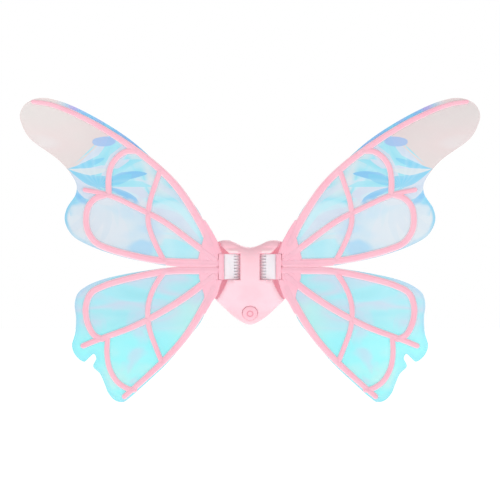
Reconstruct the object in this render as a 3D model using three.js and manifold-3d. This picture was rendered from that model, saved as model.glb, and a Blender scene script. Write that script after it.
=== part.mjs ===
// Motorised fairy wings: a heart-shaped casing that holds three AAA cells, a gear motor and a crank, and
// two pairs of butterfly wings of iridescent film on moulded frames, which flap about upright hinge pins.
// Millimetres. +Z is up, -Y is the heart's front, +Y the wearer's side. The origin is on the casing's flat
// back face, on the centre line, at the height of the middle of the hinges.
import * as THREE from "three";
import { mergeVertices } from "three/addons/utils/BufferGeometryUtils.js";
import Module from "manifold-3d";

const wasm = await Module();
wasm.setup();

// ---------- Driving dimensions ----------
const HEART_HALF_WIDTH = 56;
const HEART_TOP = 34.8; // hinge middle to the top of the lobes
const HEART_BOTTOM = 76.5; // hinge middle to the heart's tip
const WALL = 2.2; // casing wall
const CHASSIS_THICK = 2; // plate clamped between the covers
const DOOR_THICK = 2.6;
const DOME_RISE = 30; // front cover, front to back
const DOME_POWER = 3.4; // 2 is an ellipse, more is flatter in front with rounder shoulders
const SEAM = 0.1; // between faces that lie on each other

const HINGE_X = 20.5; // hinge pin, from the centre line
const HINGE_FORWARD = 14.4; // hinge pin, in front of the chassis
const BARREL_RADIUS = 8.5; // the arm's round end
const WINDOW_HALF_HEIGHT = 16.9;
const WINDOW_INNER_X = 12.7;
const WINDOW_GAP = 0.5; // arm to window, above and below
const PIN_RADIUS = 1.5;
const PIN_PLAY = 0.25; // radial, faceted bore to faceted pin
const SLOT_COUNT = 8; // cored slots in each arm's round end
const SLOT_PITCH = 3.9;
const SLOT_HEIGHT = 1.4;

const FLAP_FORWARD = 38; // degrees, away from the wearer
const FLAP_BACK = 8; // degrees, towards the wearer
const SECTOR_TEETH = 18; // on the full circle
const SECTOR_MODULE = 1;
const CRANK_TEETH = 30;
const PINION_TEETH = 10;
const TRAIN_MODULE = 0.72;
const BACKLASH = 0.22;
const GEAR_THICK = 3;

const HUB_INNER_X = 33.8; // where the wing's socket starts
const HUB_LIP = 7.2; // width of the lip round the socket's mouth
const SOCKET_DEPTH = 16;
const SOCKET_HALF_HEIGHT = 12.3;
const TONGUE_THICK = 2.6;
const SOCKET_PLAY = 0.2;
const WING_REACH = 259; // socket lip to wing tip
const UPPER_RISE = 220; // hinge middle to the top of the upper wing
const LOWER_DROP = 176.5; // hinge middle to the bottom of the lower wing
const FRAME_THICK = 2.8;
const FILM_THICK = 0.4;
const HUB_THICK = 5.4;

const BUTTON_RADIUS = 9.8;
const BUTTON_TRAVEL = 1.2;
const BUTTON_HEIGHT = -61;
const CELL_RADIUS = 5.25; // AAA
const CELL_LENGTH = 44.5;
const CELL_COUNT = 3;
const CELL_SINK = 0.6; // door to cells
const CELL_HEADROOM = 0.3; // cells to the front of the back cover
const STRAP_WIDTH = 16; // elastic that the slots take
const STRAP_SLOT = 5; // height of a slot
const STRAP_BAR = 3.4; // bar between two slots

// ---------- Stations along Y ----------
const backDepth = DOOR_THICK + CELL_SINK + 2 * CELL_RADIUS + CELL_HEADROOM;
const chassisBack = -(backDepth + SEAM);
const chassisFront = chassisBack - CHASSIS_THICK;
const coverBack = chassisFront - SEAM;
const hingeY = chassisFront - HINGE_FORWARD;
const armFront = hingeY - BARREL_RADIUS;
const frameBack = armFront + 1.4;
const frameFront = frameBack - FRAME_THICK;
const filmBack = frameBack + SEAM + FILM_THICK;
const hubFront = filmBack + SEAM + 0.1;
const hubBack = hubFront + HUB_THICK;
const armHalfHeight = WINDOW_HALF_HEIGHT - WINDOW_GAP;
const hubLipX = HUB_INNER_X + HUB_LIP;

// ---------- Geometry helpers ----------
const degrees = Math.PI / 180;
const range = (count) => Array.from({ length: count }, (_, i) => i);

// A closed three.js geometry as a manifold-3d solid.
function solid(geometry) {
  const bare = new THREE.BufferGeometry();
  bare.setAttribute("position", geometry.getAttribute("position"));
  bare.setIndex(geometry.getIndex());
  const merged = mergeVertices(bare, 1e-4);
  const position = merged.getAttribute("position");
  const made = new wasm.Mesh({
    numProp: 3,
    vertProperties: new Float32Array(position.array),
    triVerts: new Uint32Array(merged.getIndex().array),
  });
  return new wasm.Manifold(made);
}

// A manifold-3d solid as a three.js geometry.
function geometryOf(made) {
  const mesh = made.getMesh();
  const geometry = new THREE.BufferGeometry();
  const step = mesh.numProp;
  const corners = new Float32Array(mesh.numVert * 3);
  for (const i of range(mesh.numVert)) {
    corners.set(mesh.vertProperties.subarray(i * step, i * step + 3), i * 3);
  }
  geometry.setAttribute("position", new THREE.BufferAttribute(corners, 3));
  geometry.setIndex(new THREE.BufferAttribute(new Uint32Array(mesh.triVerts), 1));
  geometry.computeVertexNormals();
  return geometry;
}

const union = (parts) => parts.reduce((all, part) => all.add(part));

function block([x0, x1], [y0, y1], [z0, z1]) {
  const size = [Math.abs(x1 - x0), Math.abs(y1 - y0), Math.abs(z1 - z0)];
  const box = new THREE.BoxGeometry(...size);
  box.translate((x0 + x1) / 2, (y0 + y1) / 2, (z0 + z1) / 2);
  return solid(box);
}

function rodZ(radius, [x, y], [z0, z1], sides = 16) {
  const rod = new THREE.CylinderGeometry(radius, radius, Math.abs(z1 - z0), sides);
  rod.rotateX(Math.PI / 2);
  rod.translate(x, y, (z0 + z1) / 2);
  return solid(rod);
}

function rodY(radius, [x, z], [y0, y1], sides = 16) {
  const rod = new THREE.CylinderGeometry(radius, radius, Math.abs(y1 - y0), sides);
  rod.translate(x, (y0 + y1) / 2, z);
  return solid(rod);
}

const shapeOf = (outline) => new THREE.Shape(outline.map(([a, b]) => new THREE.Vector2(a, b)));

// An outline in X and Z, from its back face at yBack to its front face at yFront.
function slabY(outline, yBack, yFront) {
  const options = { depth: yBack - yFront, bevelEnabled: false };
  const slab = new THREE.ExtrudeGeometry(shapeOf(outline), options);
  slab.rotateX(Math.PI / 2);
  slab.translate(0, yBack, 0);
  return solid(slab);
}

// An outline in X and Y, from z0 up to z1.
function slabZ(outline, z0, z1) {
  const options = { depth: z1 - z0, bevelEnabled: false };
  const slab = new THREE.ExtrudeGeometry(shapeOf(outline), options);
  slab.translate(0, 0, z0);
  return solid(slab);
}

const mirrored = (outline) => outline.map(([x, z]) => [-x, z]).reverse();
const bothSides = (right) => right.add(right.mirror([1, 0, 0]));

// A smooth line through the points, with some steps between each two.
function smooth(points, steps, closed = false) {
  const corners = points.map(([a, b]) => new THREE.Vector3(a, b, 0));
  const curve = new THREE.CatmullRomCurve3(corners, closed, "centripetal");
  const spans = closed ? points.length : points.length - 1;
  const line = curve.getPoints(spans * steps).map((p) => [p.x, p.y]);
  return closed ? line.slice(0, -1) : line;
}

// The outline of a strip along a smooth line, its width going evenly from the first to the last, with
// round ends.
function stripOutline(points, firstWidth, lastWidth, steps = 2) {
  const line = smooth(points, steps).map(([a, b]) => new THREE.Vector2(a, b));
  const left = [];
  const right = [];
  const heading = (i) => {
    const before = line[Math.max(0, i - 1)];
    const after = line[Math.min(line.length - 1, i + 1)];
    return after.clone().sub(before).normalize();
  };
  line.forEach((p, i) => {
    const half = (firstWidth + ((lastWidth - firstWidth) * i) / (line.length - 1)) / 2;
    const side = heading(i);
    side.set(-side.y * half, side.x * half);
    left.push(p.clone().add(side));
    right.push(p.clone().sub(side));
  });
  const cap = (end, width, towards) => {
    const start = Math.atan2(towards.y, towards.x) - Math.PI / 2;
    return [1, 2, 3].map((i) => {
      const angle = start + (Math.PI * i) / 4;
      const reach = new THREE.Vector2(Math.cos(angle), Math.sin(angle));
      return end.clone().addScaledVector(reach, width / 2);
    });
  };
  const last = line.length - 1;
  const farCap = cap(line[last], lastWidth, heading(last));
  const nearCap = cap(line[0], firstWidth, heading(0).negate());
  const ring = [...right, ...farCap, ...left.reverse(), ...nearCap];
  return ring.map((p) => [p.x, p.y]);
}

// ---------- The casing ----------
// Half the heart as shares of its half width and of its height above or below the hinges, from the
// notch over a lobe and down to the tip.
const heartHalf = [
  [0, 0.72],
  [0.22, 0.81],
  [0.41, 0.955],
  [0.56, 1],
  [0.77, 0.93],
  [0.92, 0.7],
  [0.99, 0.3],
  [1, -0.1],
  [0.96, -0.34],
  [0.835, -0.544],
  [0.625, -0.7],
  [0.415, -0.842],
  [0.22, -0.941],
  [0, -1],
];
const heartPoint = ([u, v]) => [u * HEART_HALF_WIDTH, v > 0 ? v * HEART_TOP : v * HEART_BOTTOM];
const heartCentre = [0, -0.13 * HEART_BOTTOM];

function heartOutline(inset = 0, steps = 2) {
  const right = heartHalf.map(heartPoint);
  const left = mirrored(right).slice(1, -1);
  const keep = 1 - inset / HEART_HALF_WIDTH;
  const towardsCentre = ([x, z]) => [x * keep, heartCentre[1] + (z - heartCentre[1]) * keep];
  return smooth([...right, ...left], steps, true).map(towardsCentre).reverse();
}

// A pillow over the heart: rings of the outline drawn in towards the centre as they come forward.
function heartPillow(inset, yBack, rise, ringCount) {
  const outline = heartOutline(inset);
  const count = outline.length;
  const positions = [];
  for (const ring of range(ringCount)) {
    const angle = (ring / ringCount) * (Math.PI / 2);
    const keep = Math.cos(angle) ** (2 / DOME_POWER);
    const forward = Math.sin(angle) ** (2 / DOME_POWER);
    for (const [x, z] of outline) {
      positions.push(x * keep, yBack - rise * forward, heartCentre[1] + (z - heartCentre[1]) * keep);
    }
  }
  const backMiddle = positions.length / 3;
  positions.push(heartCentre[0], yBack, heartCentre[1]);
  positions.push(heartCentre[0], yBack - rise, heartCentre[1]);
  const index = [];
  for (const i of range(count)) {
    const next = (i + 1) % count;
    index.push(backMiddle, next, i);
    for (const ring of range(ringCount - 1)) {
      const a = ring * count + i;
      const b = ring * count + next;
      index.push(a, b, b + count, a, b + count, a + count);
    }
    const top = (ringCount - 1) * count;
    index.push(top + i, top + next, backMiddle + 1);
  }
  const geometry = new THREE.BufferGeometry();
  geometry.setAttribute("position", new THREE.Float32BufferAttribute(positions, 3));
  geometry.setIndex(index);
  return solid(geometry);
}

// How far forward of coverBack the outer surface is, on the centre line at height z below the centre.
function domeForward(z) {
  const share = (heartCentre[1] - z) / (heartCentre[1] + HEART_BOTTOM);
  return DOME_RISE * (1 - share ** DOME_POWER) ** (1 / DOME_POWER);
}

// The front of a wing root: where its edge runs beside the casing, from the lip up or down and out.
const rootAbove = [
  [36, WINDOW_HALF_HEIGHT - 0.3],
  [39.7, 25.4],
  [42.6, 34],
  [49, 46],
];
const rootBelow = [
  [36, -WINDOW_HALF_HEIGHT],
  [39.6, -28],
  [43.4, -38.2],
  [49.4, -44.8],
];
// Wing root to front cover at each of those points: widest beside the arm, where it swings past closest.
const gapsAbove = [5.6, 2.2, 1.8, 1.8];
const gapsBelow = [7, 5.6, 3.4, 2.4];

// The right-hand opening in the front cover: a window for the arm that widens round the wing root.
function recessOutline() {
  const clear = (root, gaps) => root.map(([x, z], i) => [x - gaps[i], z + Math.sign(z) * 0.3]);
  const far = HEART_HALF_WIDTH + 30;
  return [
    [WINDOW_INNER_X, -WINDOW_HALF_HEIGHT],
    ...clear(rootBelow, gapsBelow),
    [far, -HEART_BOTTOM],
    [far, HEART_TOP + 30],
    ...clear(rootAbove, gapsAbove).reverse(),
    [WINDOW_INNER_X, WINDOW_HALF_HEIGHT],
  ];
}

const SCREW = { shank: 1.1, head: 2.3, headThick: 1.5, hole: 1.35, boss: 3.1, length: 19 };
const EAR = { inner: 4.5, outer: 4, boss: 1.42 }; // reach either side of the pin, and ear to screw boss
const earInnerX = HINGE_X - EAR.inner;
const caseScrewSpots = [
  [earInnerX - EAR.boss - SCREW.boss, 0.6 * HEART_TOP],
  [0.59 * HEART_HALF_WIDTH, -0.575 * HEART_BOTTOM],
];
const tipScrewSpot = [0, -0.925 * HEART_BOTTOM];
const screwSpotsRight = [...caseScrewSpots, tipScrewSpot];
const HEAD_SINK = 1.9; // depth of a head's counterbore

// The tilt of the button, square to the dome where it sits, and the middle of its face.
const dropStep = 0.5;
const slope = domeForward(BUTTON_HEIGHT + dropStep) - domeForward(BUTTON_HEIGHT - dropStep);
const buttonTilt = Math.atan(slope / (2 * dropStep));
const buttonFace = [0, coverBack - domeForward(BUTTON_HEIGHT) - 0.6, BUTTON_HEIGHT];
const BUTTON_FLANGE = 1.3; // radial
const BUTTON_PLAY = 0.35;

// Local Y runs into the casing from the button's face; this turns and moves it into place.
function atButton(made) {
  return made.rotate([buttonTilt / degrees, 0, 0]).translate(buttonFace);
}

function frontCover() {
  const outer = heartPillow(0, coverBack, DOME_RISE, 8);
  const inner = heartPillow(WALL, coverBack + 1, DOME_RISE - WALL + 1, 5);
  const recess = slabY(recessOutline(), coverBack + 5, coverBack - DOME_RISE - 5);
  const reach = [coverBack, coverBack - DOME_RISE];
  const bosses = screwSpotsRight.map((spot) => rodY(SCREW.boss, spot, reach, 12));
  const pilots = screwSpotsRight.map((spot) => rodY(SCREW.hole, spot, [coverBack + 1, coverBack - 9], 10));
  const shell = outer.subtract(inner);
  const posts = bothSides(union(bosses)).intersect(outer);
  const hole = atButton(rodY(BUTTON_RADIUS + BUTTON_PLAY, [0, 0], [-6, 14], 24));
  const land = atButton(rodY(BUTTON_RADIUS + BUTTON_FLANGE + 1, [0, 0], [3.4, 14], 24));
  const cuts = [bothSides(recess), bothSides(union(pilots)), hole, land];
  return shell.add(posts).subtract(union(cuts));
}

const cellPitch = 2 * CELL_RADIUS + 0.6;
const CELL_PLAY = 0.4;
const CONTACT_SPACE = 3.2; // spring or plate at each end of the cells
const bayHalfWidth = CELL_LENGTH / 2 + CONTACT_SPACE;
const bayHalfHeight = (CELL_COUNT * cellPitch) / 2 + CELL_PLAY;
const bayMiddle = -0.51 * HEART_BOTTOM;
const BAY_WALL = 1.5;
const DOOR_LEDGE = 2.2;
const DOOR_TAB = 7;
const cellY = -(DOOR_THICK + CELL_SINK + CELL_RADIUS);
const doorScrewSpot = [0, bayMiddle + bayHalfHeight + BAY_WALL + 3];

function strapBarSpots() {
  return [
    [0.545 * HEART_HALF_WIDTH, 0.5 * HEART_TOP],
    [0.675 * HEART_HALF_WIDTH, -0.34 * HEART_BOTTOM],
  ];
}

function strapSlots() {
  const half = STRAP_WIDTH / 2;
  return strapBarSpots().flatMap(([x, z]) =>
    [-1, 1].map((side) => {
      const near = z + (side * STRAP_BAR) / 2;
      return block([x - half, x + half], [1, -WALL - 1], [near, near + side * STRAP_SLOT]);
    }),
  );
}

function backCover() {
  const tub = slabY(heartOutline(), -1.5, -backDepth).add(slabY(heartOutline(1.5), 0, -1.6));
  const hollow = slabY(heartOutline(WALL), -WALL, -backDepth - 1);
  const [outX, outZ] = [bayHalfWidth + BAY_WALL, bayHalfHeight + BAY_WALL];
  const zs = (half) => [bayMiddle - half, bayMiddle + half];
  const bayOuter = block([-outX, outX], [-0.5, -backDepth], zs(outZ));
  const bayInner = block([-bayHalfWidth, bayHalfWidth], [1, -backDepth - 1], zs(bayHalfHeight));
  const doorSeat = doorOutline(SEAM).subtract(block([-99, 99], [-DOOR_THICK - 0.2, -40], [-99, 99]));
  const posts = screwSpotsRight.map((spot) => rodY(SCREW.boss, spot, [-0.5, -backDepth], 12));
  const doorPost = rodY(SCREW.boss, doorScrewSpot, [-0.5, -9], 12);
  const shanks = screwSpotsRight.map((spot) => rodY(SCREW.hole, spot, [1, -backDepth - 1], 10));
  const sinks = screwSpotsRight.map((spot) => rodY(SCREW.head + 0.4, spot, [1, -HEAD_SINK], 10));
  const pilot = rodY(SCREW.hole, doorScrewSpot, [1, -8], 10);
  const gapReach = [bayHalfWidth - 1, outX + 1];
  const wireGap = block(gapReach, [-9.5, -backDepth - 1], [bayMiddle - 2, bayMiddle + 2]);
  const shell = tub.subtract(hollow).add(bayOuter).add(bothSides(union(posts))).add(doorPost);
  const cuts = [bayInner, doorSeat, bothSides(union([...shanks, ...sinks, ...strapSlots()]))];
  return shell.subtract(union(cuts)).subtract(pilot).subtract(bothSides(wireGap));
}

// The battery door, with a screw tab on its upper edge, and its seat when it is grown a little.
function doorOutline(grow) {
  const [x, z] = [bayHalfWidth + DOOR_LEDGE - 1 + grow, bayHalfHeight + DOOR_LEDGE - 1 + grow];
  const plate = block([-x, x], [0.001, -DOOR_THICK - grow], [bayMiddle - z, bayMiddle + z]);
  const [, tabZ] = doorScrewSpot;
  const tab = rodY(DOOR_TAB / 2 + 1 + grow, doorScrewSpot, [0.001, -DOOR_THICK - grow], 20);
  const neck = DOOR_TAB / 2 + 1 + grow;
  return plate.add(tab).add(block([-neck, neck], [0.001, -DOOR_THICK - grow], [bayMiddle, tabZ]));
}

function batteryDoor() {
  const hole = rodY(SCREW.hole, doorScrewSpot, [1, -DOOR_THICK - 1], 10);
  const sink = rodY(SCREW.head + 0.3, doorScrewSpot, [1, -1.7], 12);
  const lift = block([-8, 8], [1, -0.8], [bayMiddle - bayHalfHeight + 3, bayMiddle - bayHalfHeight + 5]);
  return doorOutline(-0.15).subtract(hole.add(sink)).subtract(lift).translate([0, -SEAM, 0]);
}

// ---------- Gears ----------
const involute = (angle) => Math.tan(angle) - angle;
const PRESSURE = 20 * degrees;

// The outline of a spur gear about the origin, with a tooth's middle at firstAngle. Only the teeth whose
// middle lies within halfSpread of sectorMiddle are cut; the rest of the rim is at the root.
function gearOutline(teeth, module, firstAngle, sectorMiddle = 0, halfSpread = Math.PI) {
  const pitch = (teeth * module) / 2;
  const base = pitch * Math.cos(PRESSURE);
  const tip = pitch + module;
  const root = pitch - 1.25 * module;
  const halfAngle = (radius) => {
    const angle = Math.acos(Math.min(1, base / radius));
    return Math.PI / (2 * teeth) + involute(PRESSURE) - involute(angle) - BACKLASH / (2 * pitch);
  };
  const flank = [root, ...(module < 1 ? [] : [pitch]), tip].map((r) => [r, halfAngle(Math.max(base, r))]);
  const outline = [];
  for (const i of range(teeth)) {
    const middle = firstAngle + (2 * Math.PI * i) / teeth;
    const off = Math.atan2(Math.sin(middle - sectorMiddle), Math.cos(middle - sectorMiddle));
    const toothed = Math.abs(off) <= halfSpread;
    const stations = toothed ? flank : [flank[0]];
    const rising = stations.map(([r, a]) => [r, middle - a]);
    const falling = stations.map(([r, a]) => [r, middle + a]).reverse();
    for (const [r, a] of [...rising, ...falling]) {
      outline.push([r * Math.cos(a), r * Math.sin(a)]);
    }
  }
  return outline;
}

// ---------- The flapping drive ----------
const sectorPitch = (SECTOR_TEETH * SECTOR_MODULE) / 2;
const strokeForward = FLAP_FORWARD * degrees * sectorPitch; // slider travel towards the wearer
const strokeBack = FLAP_BACK * degrees * sectorPitch;
const crankRadius = (strokeForward + strokeBack) / 2;
const rackX = HINGE_X - sectorPitch; // pitch line of each rack
const sectorTop = -armHalfHeight - 2.1;
const sectorBottom = sectorTop - 7;
const EAR_THICK = 3;
const EAR_GAP = 0.8;
const crankTop = sectorBottom - EAR_GAP - EAR_THICK - 1.3;
const crankBottom = crankTop - GEAR_THICK;
const crankReach = (CRANK_TEETH * TRAIN_MODULE) / 2;
const pinionReach = (PINION_TEETH * TRAIN_MODULE) / 2;
const CENTRE_SPREAD = 0.12; // added to the pair's theoretical centre distance
const crankY = chassisFront - 1.3 - (crankReach + TRAIN_MODULE);
const trainAngle = Math.PI - 18 * degrees; // from the crank's axle to the motor's shaft
const trainReach = crankReach + pinionReach + CENTRE_SPREAD;
const motorX = trainReach * Math.cos(trainAngle);
const motorY = crankY + trainReach * Math.sin(trainAngle);
const sliderLength = 13.5;
const sliderMiddle = hingeY - (strokeForward - strokeBack) / 2;
const slotY = crankY - (strokeForward - strokeBack) / 2;
const sliderTop = sectorTop;
const sliderBottom = sectorBottom;
const GUIDE = { halfWidth: 3, bottom: 3.2, top: 6.2, play: 0.3 }; // heights above the slider's bottom

function rackSlider() {
  const root = rackX - 1.25 * SECTOR_MODULE;
  const toothPitch = Math.PI * SECTOR_MODULE;
  const [front, back] = [sliderMiddle - sliderLength / 2, sliderMiddle + sliderLength / 2];
  const halfAt = (height) => toothPitch / 4 - BACKLASH / 2 - height * Math.tan(PRESSURE);
  const tooth = (middle) => {
    const [low, high] = [halfAt(-1.25 * SECTOR_MODULE), halfAt(SECTOR_MODULE)];
    return [
      [root - 0.5, middle - low],
      [root, middle - low],
      [rackX + SECTOR_MODULE, middle - high],
      [rackX + SECTOR_MODULE, middle + high],
      [root, middle + low],
      [root - 0.5, middle + low],
    ];
  };
  const reach = Math.ceil(sliderLength / toothPitch) + 1;
  const middles = range(2 * reach + 1)
    .map((i) => hingeY + (i - reach) * toothPitch)
    .filter((y) => y - halfAt(-1.25) > front && y + halfAt(-1.25) < back);
  const teeth = union(middles.map((y) => slabZ(tooth(y), sliderBottom, sliderTop)));
  const body = block([-root, root], [front, back], [sliderBottom, sliderTop]);
  const wide = GUIDE.halfWidth + GUIDE.play;
  const tall = [sliderBottom + GUIDE.bottom - GUIDE.play, sliderBottom + GUIDE.top + GUIDE.play];
  const guideHole = block([-wide, wide], [front - 1, back + 1], tall);
  const slotHalf = crankRadius + PIN_RADIUS + 0.6;
  const slotWidth = PIN_RADIUS + 0.2;
  const slotDepth = [sliderBottom - 1, sliderBottom + 2];
  const slot = block([-slotHalf, slotHalf], [slotY - slotWidth, slotY + slotWidth], slotDepth);
  return body.add(bothSides(teeth)).subtract(guideHole).subtract(slot);
}

// The crank gear turns on its axle; its pin stands under the slider's slot.
function crankGear() {
  const gear = slabZ(gearOutline(CRANK_TEETH, TRAIN_MODULE, 0), crankBottom, crankTop);
  const pinAcross = Math.sqrt(crankRadius ** 2 - (slotY - crankY) ** 2);
  const pin = rodZ(PIN_RADIUS, [pinAcross, slotY - crankY], [crankBottom + 1, sliderBottom - 0.4], 12);
  const bore = rodZ(PIN_RADIUS + PIN_PLAY, [0, 0], [crankBottom - 1, crankTop + 1], 16);
  return gear.add(pin).subtract(bore).translate([0, crankY, 0]);
}

const shaftEnd = crankTop + 0.8;
const motorTop = crankBottom - 1.4;

function motorPinion() {
  // Where the crank gear faces the pinion, its teeth stand this share of a tooth from the line of centres.
  const share = (trainAngle * CRANK_TEETH) / (2 * Math.PI);
  const first = trainAngle + Math.PI + ((0.5 + share) * 2 * Math.PI) / PINION_TEETH;
  const gear = slabZ(gearOutline(PINION_TEETH, TRAIN_MODULE, first), crankBottom - 0.2, crankTop + 0.2);
  const shaft = rodZ(PIN_RADIUS - 0.1, [0, 0], [motorTop + 0.4, shaftEnd], 12);
  return gear.add(shaft).translate([motorX, motorY, 0]);
}

const MOTOR = { halfWidth: 6, halfDepth: 5, gearbox: 9, can: 15, cap: 0.9 };

function motorGearbox() {
  const [x, y] = [MOTOR.halfWidth, MOTOR.halfDepth];
  const plate = 1;
  const levels = [0, MOTOR.gearbox / 2 - plate / 2, MOTOR.gearbox - plate];
  const plates = levels.map((down) => block([-x, x], [-y, y], [motorTop - down - plate, motorTop - down]));
  const post = (px, py) => rodZ(1.1, [px, py], [motorTop - MOTOR.gearbox + 0.2, motorTop - 0.2], 8);
  const wheels = rodZ(3.4, [1.2, 0], [motorTop - MOTOR.gearbox + 0.5, motorTop - 0.5], 14);
  const bush = rodZ(2, [0, 0], [motorTop - 1, motorTop + 0.3], 12);
  const posts = [post(-4.4, -3.4), post(4.4, -3.4), post(-4.4, 3.4)];
  return union([...plates, ...posts, wheels, bush]).translate([motorX, motorY, 0]);
}

// The can has two flat sides and two round ones.
function motorCan() {
  const top = motorTop - MOTOR.gearbox - SEAM;
  const bottom = top - MOTOR.can;
  const round = rodZ(MOTOR.halfWidth, [0, 0], [bottom, top], 24);
  const flats = block([-9, 9], [-MOTOR.halfDepth, MOTOR.halfDepth], [bottom - 1, top + 1]);
  const bearing = rodZ(2.2, [0, 0], [bottom - MOTOR.cap, bottom + 0.5], 12);
  const lug = (x) => block([x - 0.9, x + 0.9], [-0.25, 0.25], [bottom - 2.2, bottom + 0.5]);
  return union([round.intersect(flats), bearing, lug(-4), lug(4)]).translate([motorX, motorY, 0]);
}

// ---------- The chassis ----------
const pinTop = armHalfHeight + EAR_GAP + EAR_THICK + 0.5;
const pinBottom = sectorBottom - EAR_GAP - EAR_THICK - 0.5;

function chassis() {
  const plate = slabY(heartOutline(), chassisBack, chassisFront);
  const earReach = [chassisFront + 0.5, hingeY - 4];
  const earWidth = [earInnerX, HINGE_X + EAR.outer];
  const topEar = block(earWidth, earReach, [armHalfHeight + EAR_GAP, armHalfHeight + EAR_GAP + EAR_THICK]);
  const lowEar = block(earWidth, earReach, [sectorBottom - EAR_GAP - EAR_THICK, sectorBottom - EAR_GAP]);
  const guideFront = sliderMiddle - sliderLength / 2 - strokeBack;
  const guide = block(
    [-GUIDE.halfWidth, GUIDE.halfWidth],
    [chassisFront + 0.5, guideFront],
    [sliderBottom + GUIDE.bottom, sliderBottom + GUIDE.top],
  );
  const shelf = block([-5, 5], [chassisFront + 0.5, crankY - 4.5], [motorTop - 3.6, crankBottom - 0.7]);
  const bed = [motorX - MOTOR.halfWidth, motorX + MOTOR.halfWidth];
  const bedDeep = [chassisFront + 0.5, motorY + MOTOR.halfDepth + 0.2];
  const length = MOTOR.gearbox + MOTOR.can;
  const rest = block(bed, bedDeep, [motorTop - length + 3, motorTop - 1]);
  const cheekDeep = [chassisFront + 0.5, motorY - 1];
  const cheek = (x) => block([x, x + 1.4], cheekDeep, [motorTop - MOTOR.gearbox, motorTop - 1]);
  const cheeks = cheek(bed[0] - 1.6).add(cheek(bed[1] + 0.2));
  const pins = rodZ(PIN_RADIUS + 0.12, [HINGE_X, hingeY], [pinBottom - 3, pinTop + 3], 16);
  const axle = rodZ(PIN_RADIUS + 0.12, [0, crankY], [motorTop - 6, crankTop], 16);
  const through = [chassisBack + 1, chassisFront - 1];
  const screwHoles = screwSpotsRight.map((spot) => rodY(SCREW.hole, spot, through, 10));
  const wireHole = rodY(2.4, [bayHalfWidth + 3, bayMiddle], through, 10);
  const made = union([plate, bothSides(topEar.add(lowEar)), guide, shelf, rest, cheeks]);
  return made.subtract(bothSides(union([pins, ...screwHoles]))).subtract(axle).subtract(wireHole);
}

// ---------- Arms and wing sockets, right-hand side ----------
function arm() {
  const barrel = rodZ(BARREL_RADIUS, [HINGE_X, hingeY], [-armHalfHeight, armHalfHeight], 28);
  const plateEnd = HUB_INNER_X - 0.3;
  const plate = block([HINGE_X, plateEnd], [armFront, armFront + 6], [-armHalfHeight, armHalfHeight]);
  const tongueMiddle = (hubFront + hubBack) / 2;
  const tongueDeep = [tongueMiddle - TONGUE_THICK / 2, tongueMiddle + TONGUE_THICK / 2];
  const tongueHalf = SOCKET_HALF_HEIGHT - SOCKET_PLAY;
  const tongueEnd = HUB_INNER_X + SOCKET_DEPTH - 0.5;
  const tongue = block([plateEnd - 2, tongueEnd], tongueDeep, [-tongueHalf, tongueHalf]);
  const neck = rodZ(6.2, [HINGE_X, hingeY], [sectorTop - 0.5, -armHalfHeight + 1], 24);
  const teeth = gearOutline(SECTOR_TEETH, SECTOR_MODULE, Math.PI + Math.PI / SECTOR_TEETH, Math.PI, 1.2);
  const sector = slabZ(teeth, sectorBottom, sectorTop).translate([HINGE_X, hingeY, 0]);
  const bore = rodZ(PIN_RADIUS + PIN_PLAY, [HINGE_X, hingeY], [sectorBottom - 1, armHalfHeight + 1], 16);
  const slots = range(SLOT_COUNT).map((i) => {
    const z = (i - (SLOT_COUNT - 1) / 2) * SLOT_PITCH;
    const across = [HINGE_X - BARREL_RADIUS - 1, HINGE_X + 0.4];
    return block(across, [armFront - 1, armFront + 3.4], [z - SLOT_HEIGHT / 2, z + SLOT_HEIGHT / 2]);
  });
  const hollowHalf = armHalfHeight - 2.4;
  const relief = block([HINGE_X + 6.5, HUB_INNER_X - 3], [armFront + 2.4, 0], [-hollowHalf, hollowHalf]);
  const blank = union([barrel, plate, tongue]).subtract(relief).add(tongue).add(neck).add(sector);
  return blank.subtract(bore).subtract(union(slots));
}

const hubOutline = [
  [HUB_INNER_X, -WINDOW_HALF_HEIGHT + 0.3],
  [37, -WINDOW_HALF_HEIGHT + 0.3],
  [40.2, -27],
  [45, -34],
  [53, -33],
  [58, -22],
  [58.5, 0],
  [58, 22],
  [52, 31],
  [44, 31],
  [40.2, 25],
  [37, WINDOW_HALF_HEIGHT - 0.3],
  [HUB_INNER_X, WINDOW_HALF_HEIGHT - 0.3],
];
const wingScrewSpots = [
  [54, 7.5],
  [48.5, 25.5],
  [54, -7.5],
  [48.5, -27],
];
const WING_SCREW = { shank: 0.95, head: 1.8, headThick: 1, hole: 1.15 };

function wingHub() {
  const plate = slabY(hubOutline, hubBack, hubFront);
  const lipHeight = [-WINDOW_HALF_HEIGHT + 0.3, WINDOW_HALF_HEIGHT - 0.3];
  const lip = block([HUB_INNER_X, hubLipX - 0.2], [hubBack, frameFront - 0.7], lipHeight);
  const middle = (hubFront + hubBack) / 2;
  const half = TONGUE_THICK / 2 + SOCKET_PLAY;
  const mouth = [HUB_INNER_X - 1, HUB_INNER_X + SOCKET_DEPTH];
  const socket = block(mouth, [middle - half, middle + half], [-SOCKET_HALF_HEIGHT, SOCKET_HALF_HEIGHT]);
  const holes = wingScrewSpots.map((spot) => rodY(WING_SCREW.hole, spot, [hubBack + 1, hubFront - 1], 8));
  const sinks = wingScrewSpots.map((spot) => rodY(WING_SCREW.head + 0.3, spot, [hubBack + 1, hubBack - 1.3], 8));
  return plate.add(lip).subtract(socket).subtract(union([...holes, ...sinks]));
}

// ---------- Wings, right-hand side ----------
// A wing point from its share, in hundredths, of the reach beyond the lip and of the rise or drop.
const wingRise = (v) => v * (v > 0 ? UPPER_RISE : LOWER_DROP);
const wingPoint = ([u, v]) => [hubLipX + (u * WING_REACH) / 100, wingRise(v) / 100];

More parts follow.
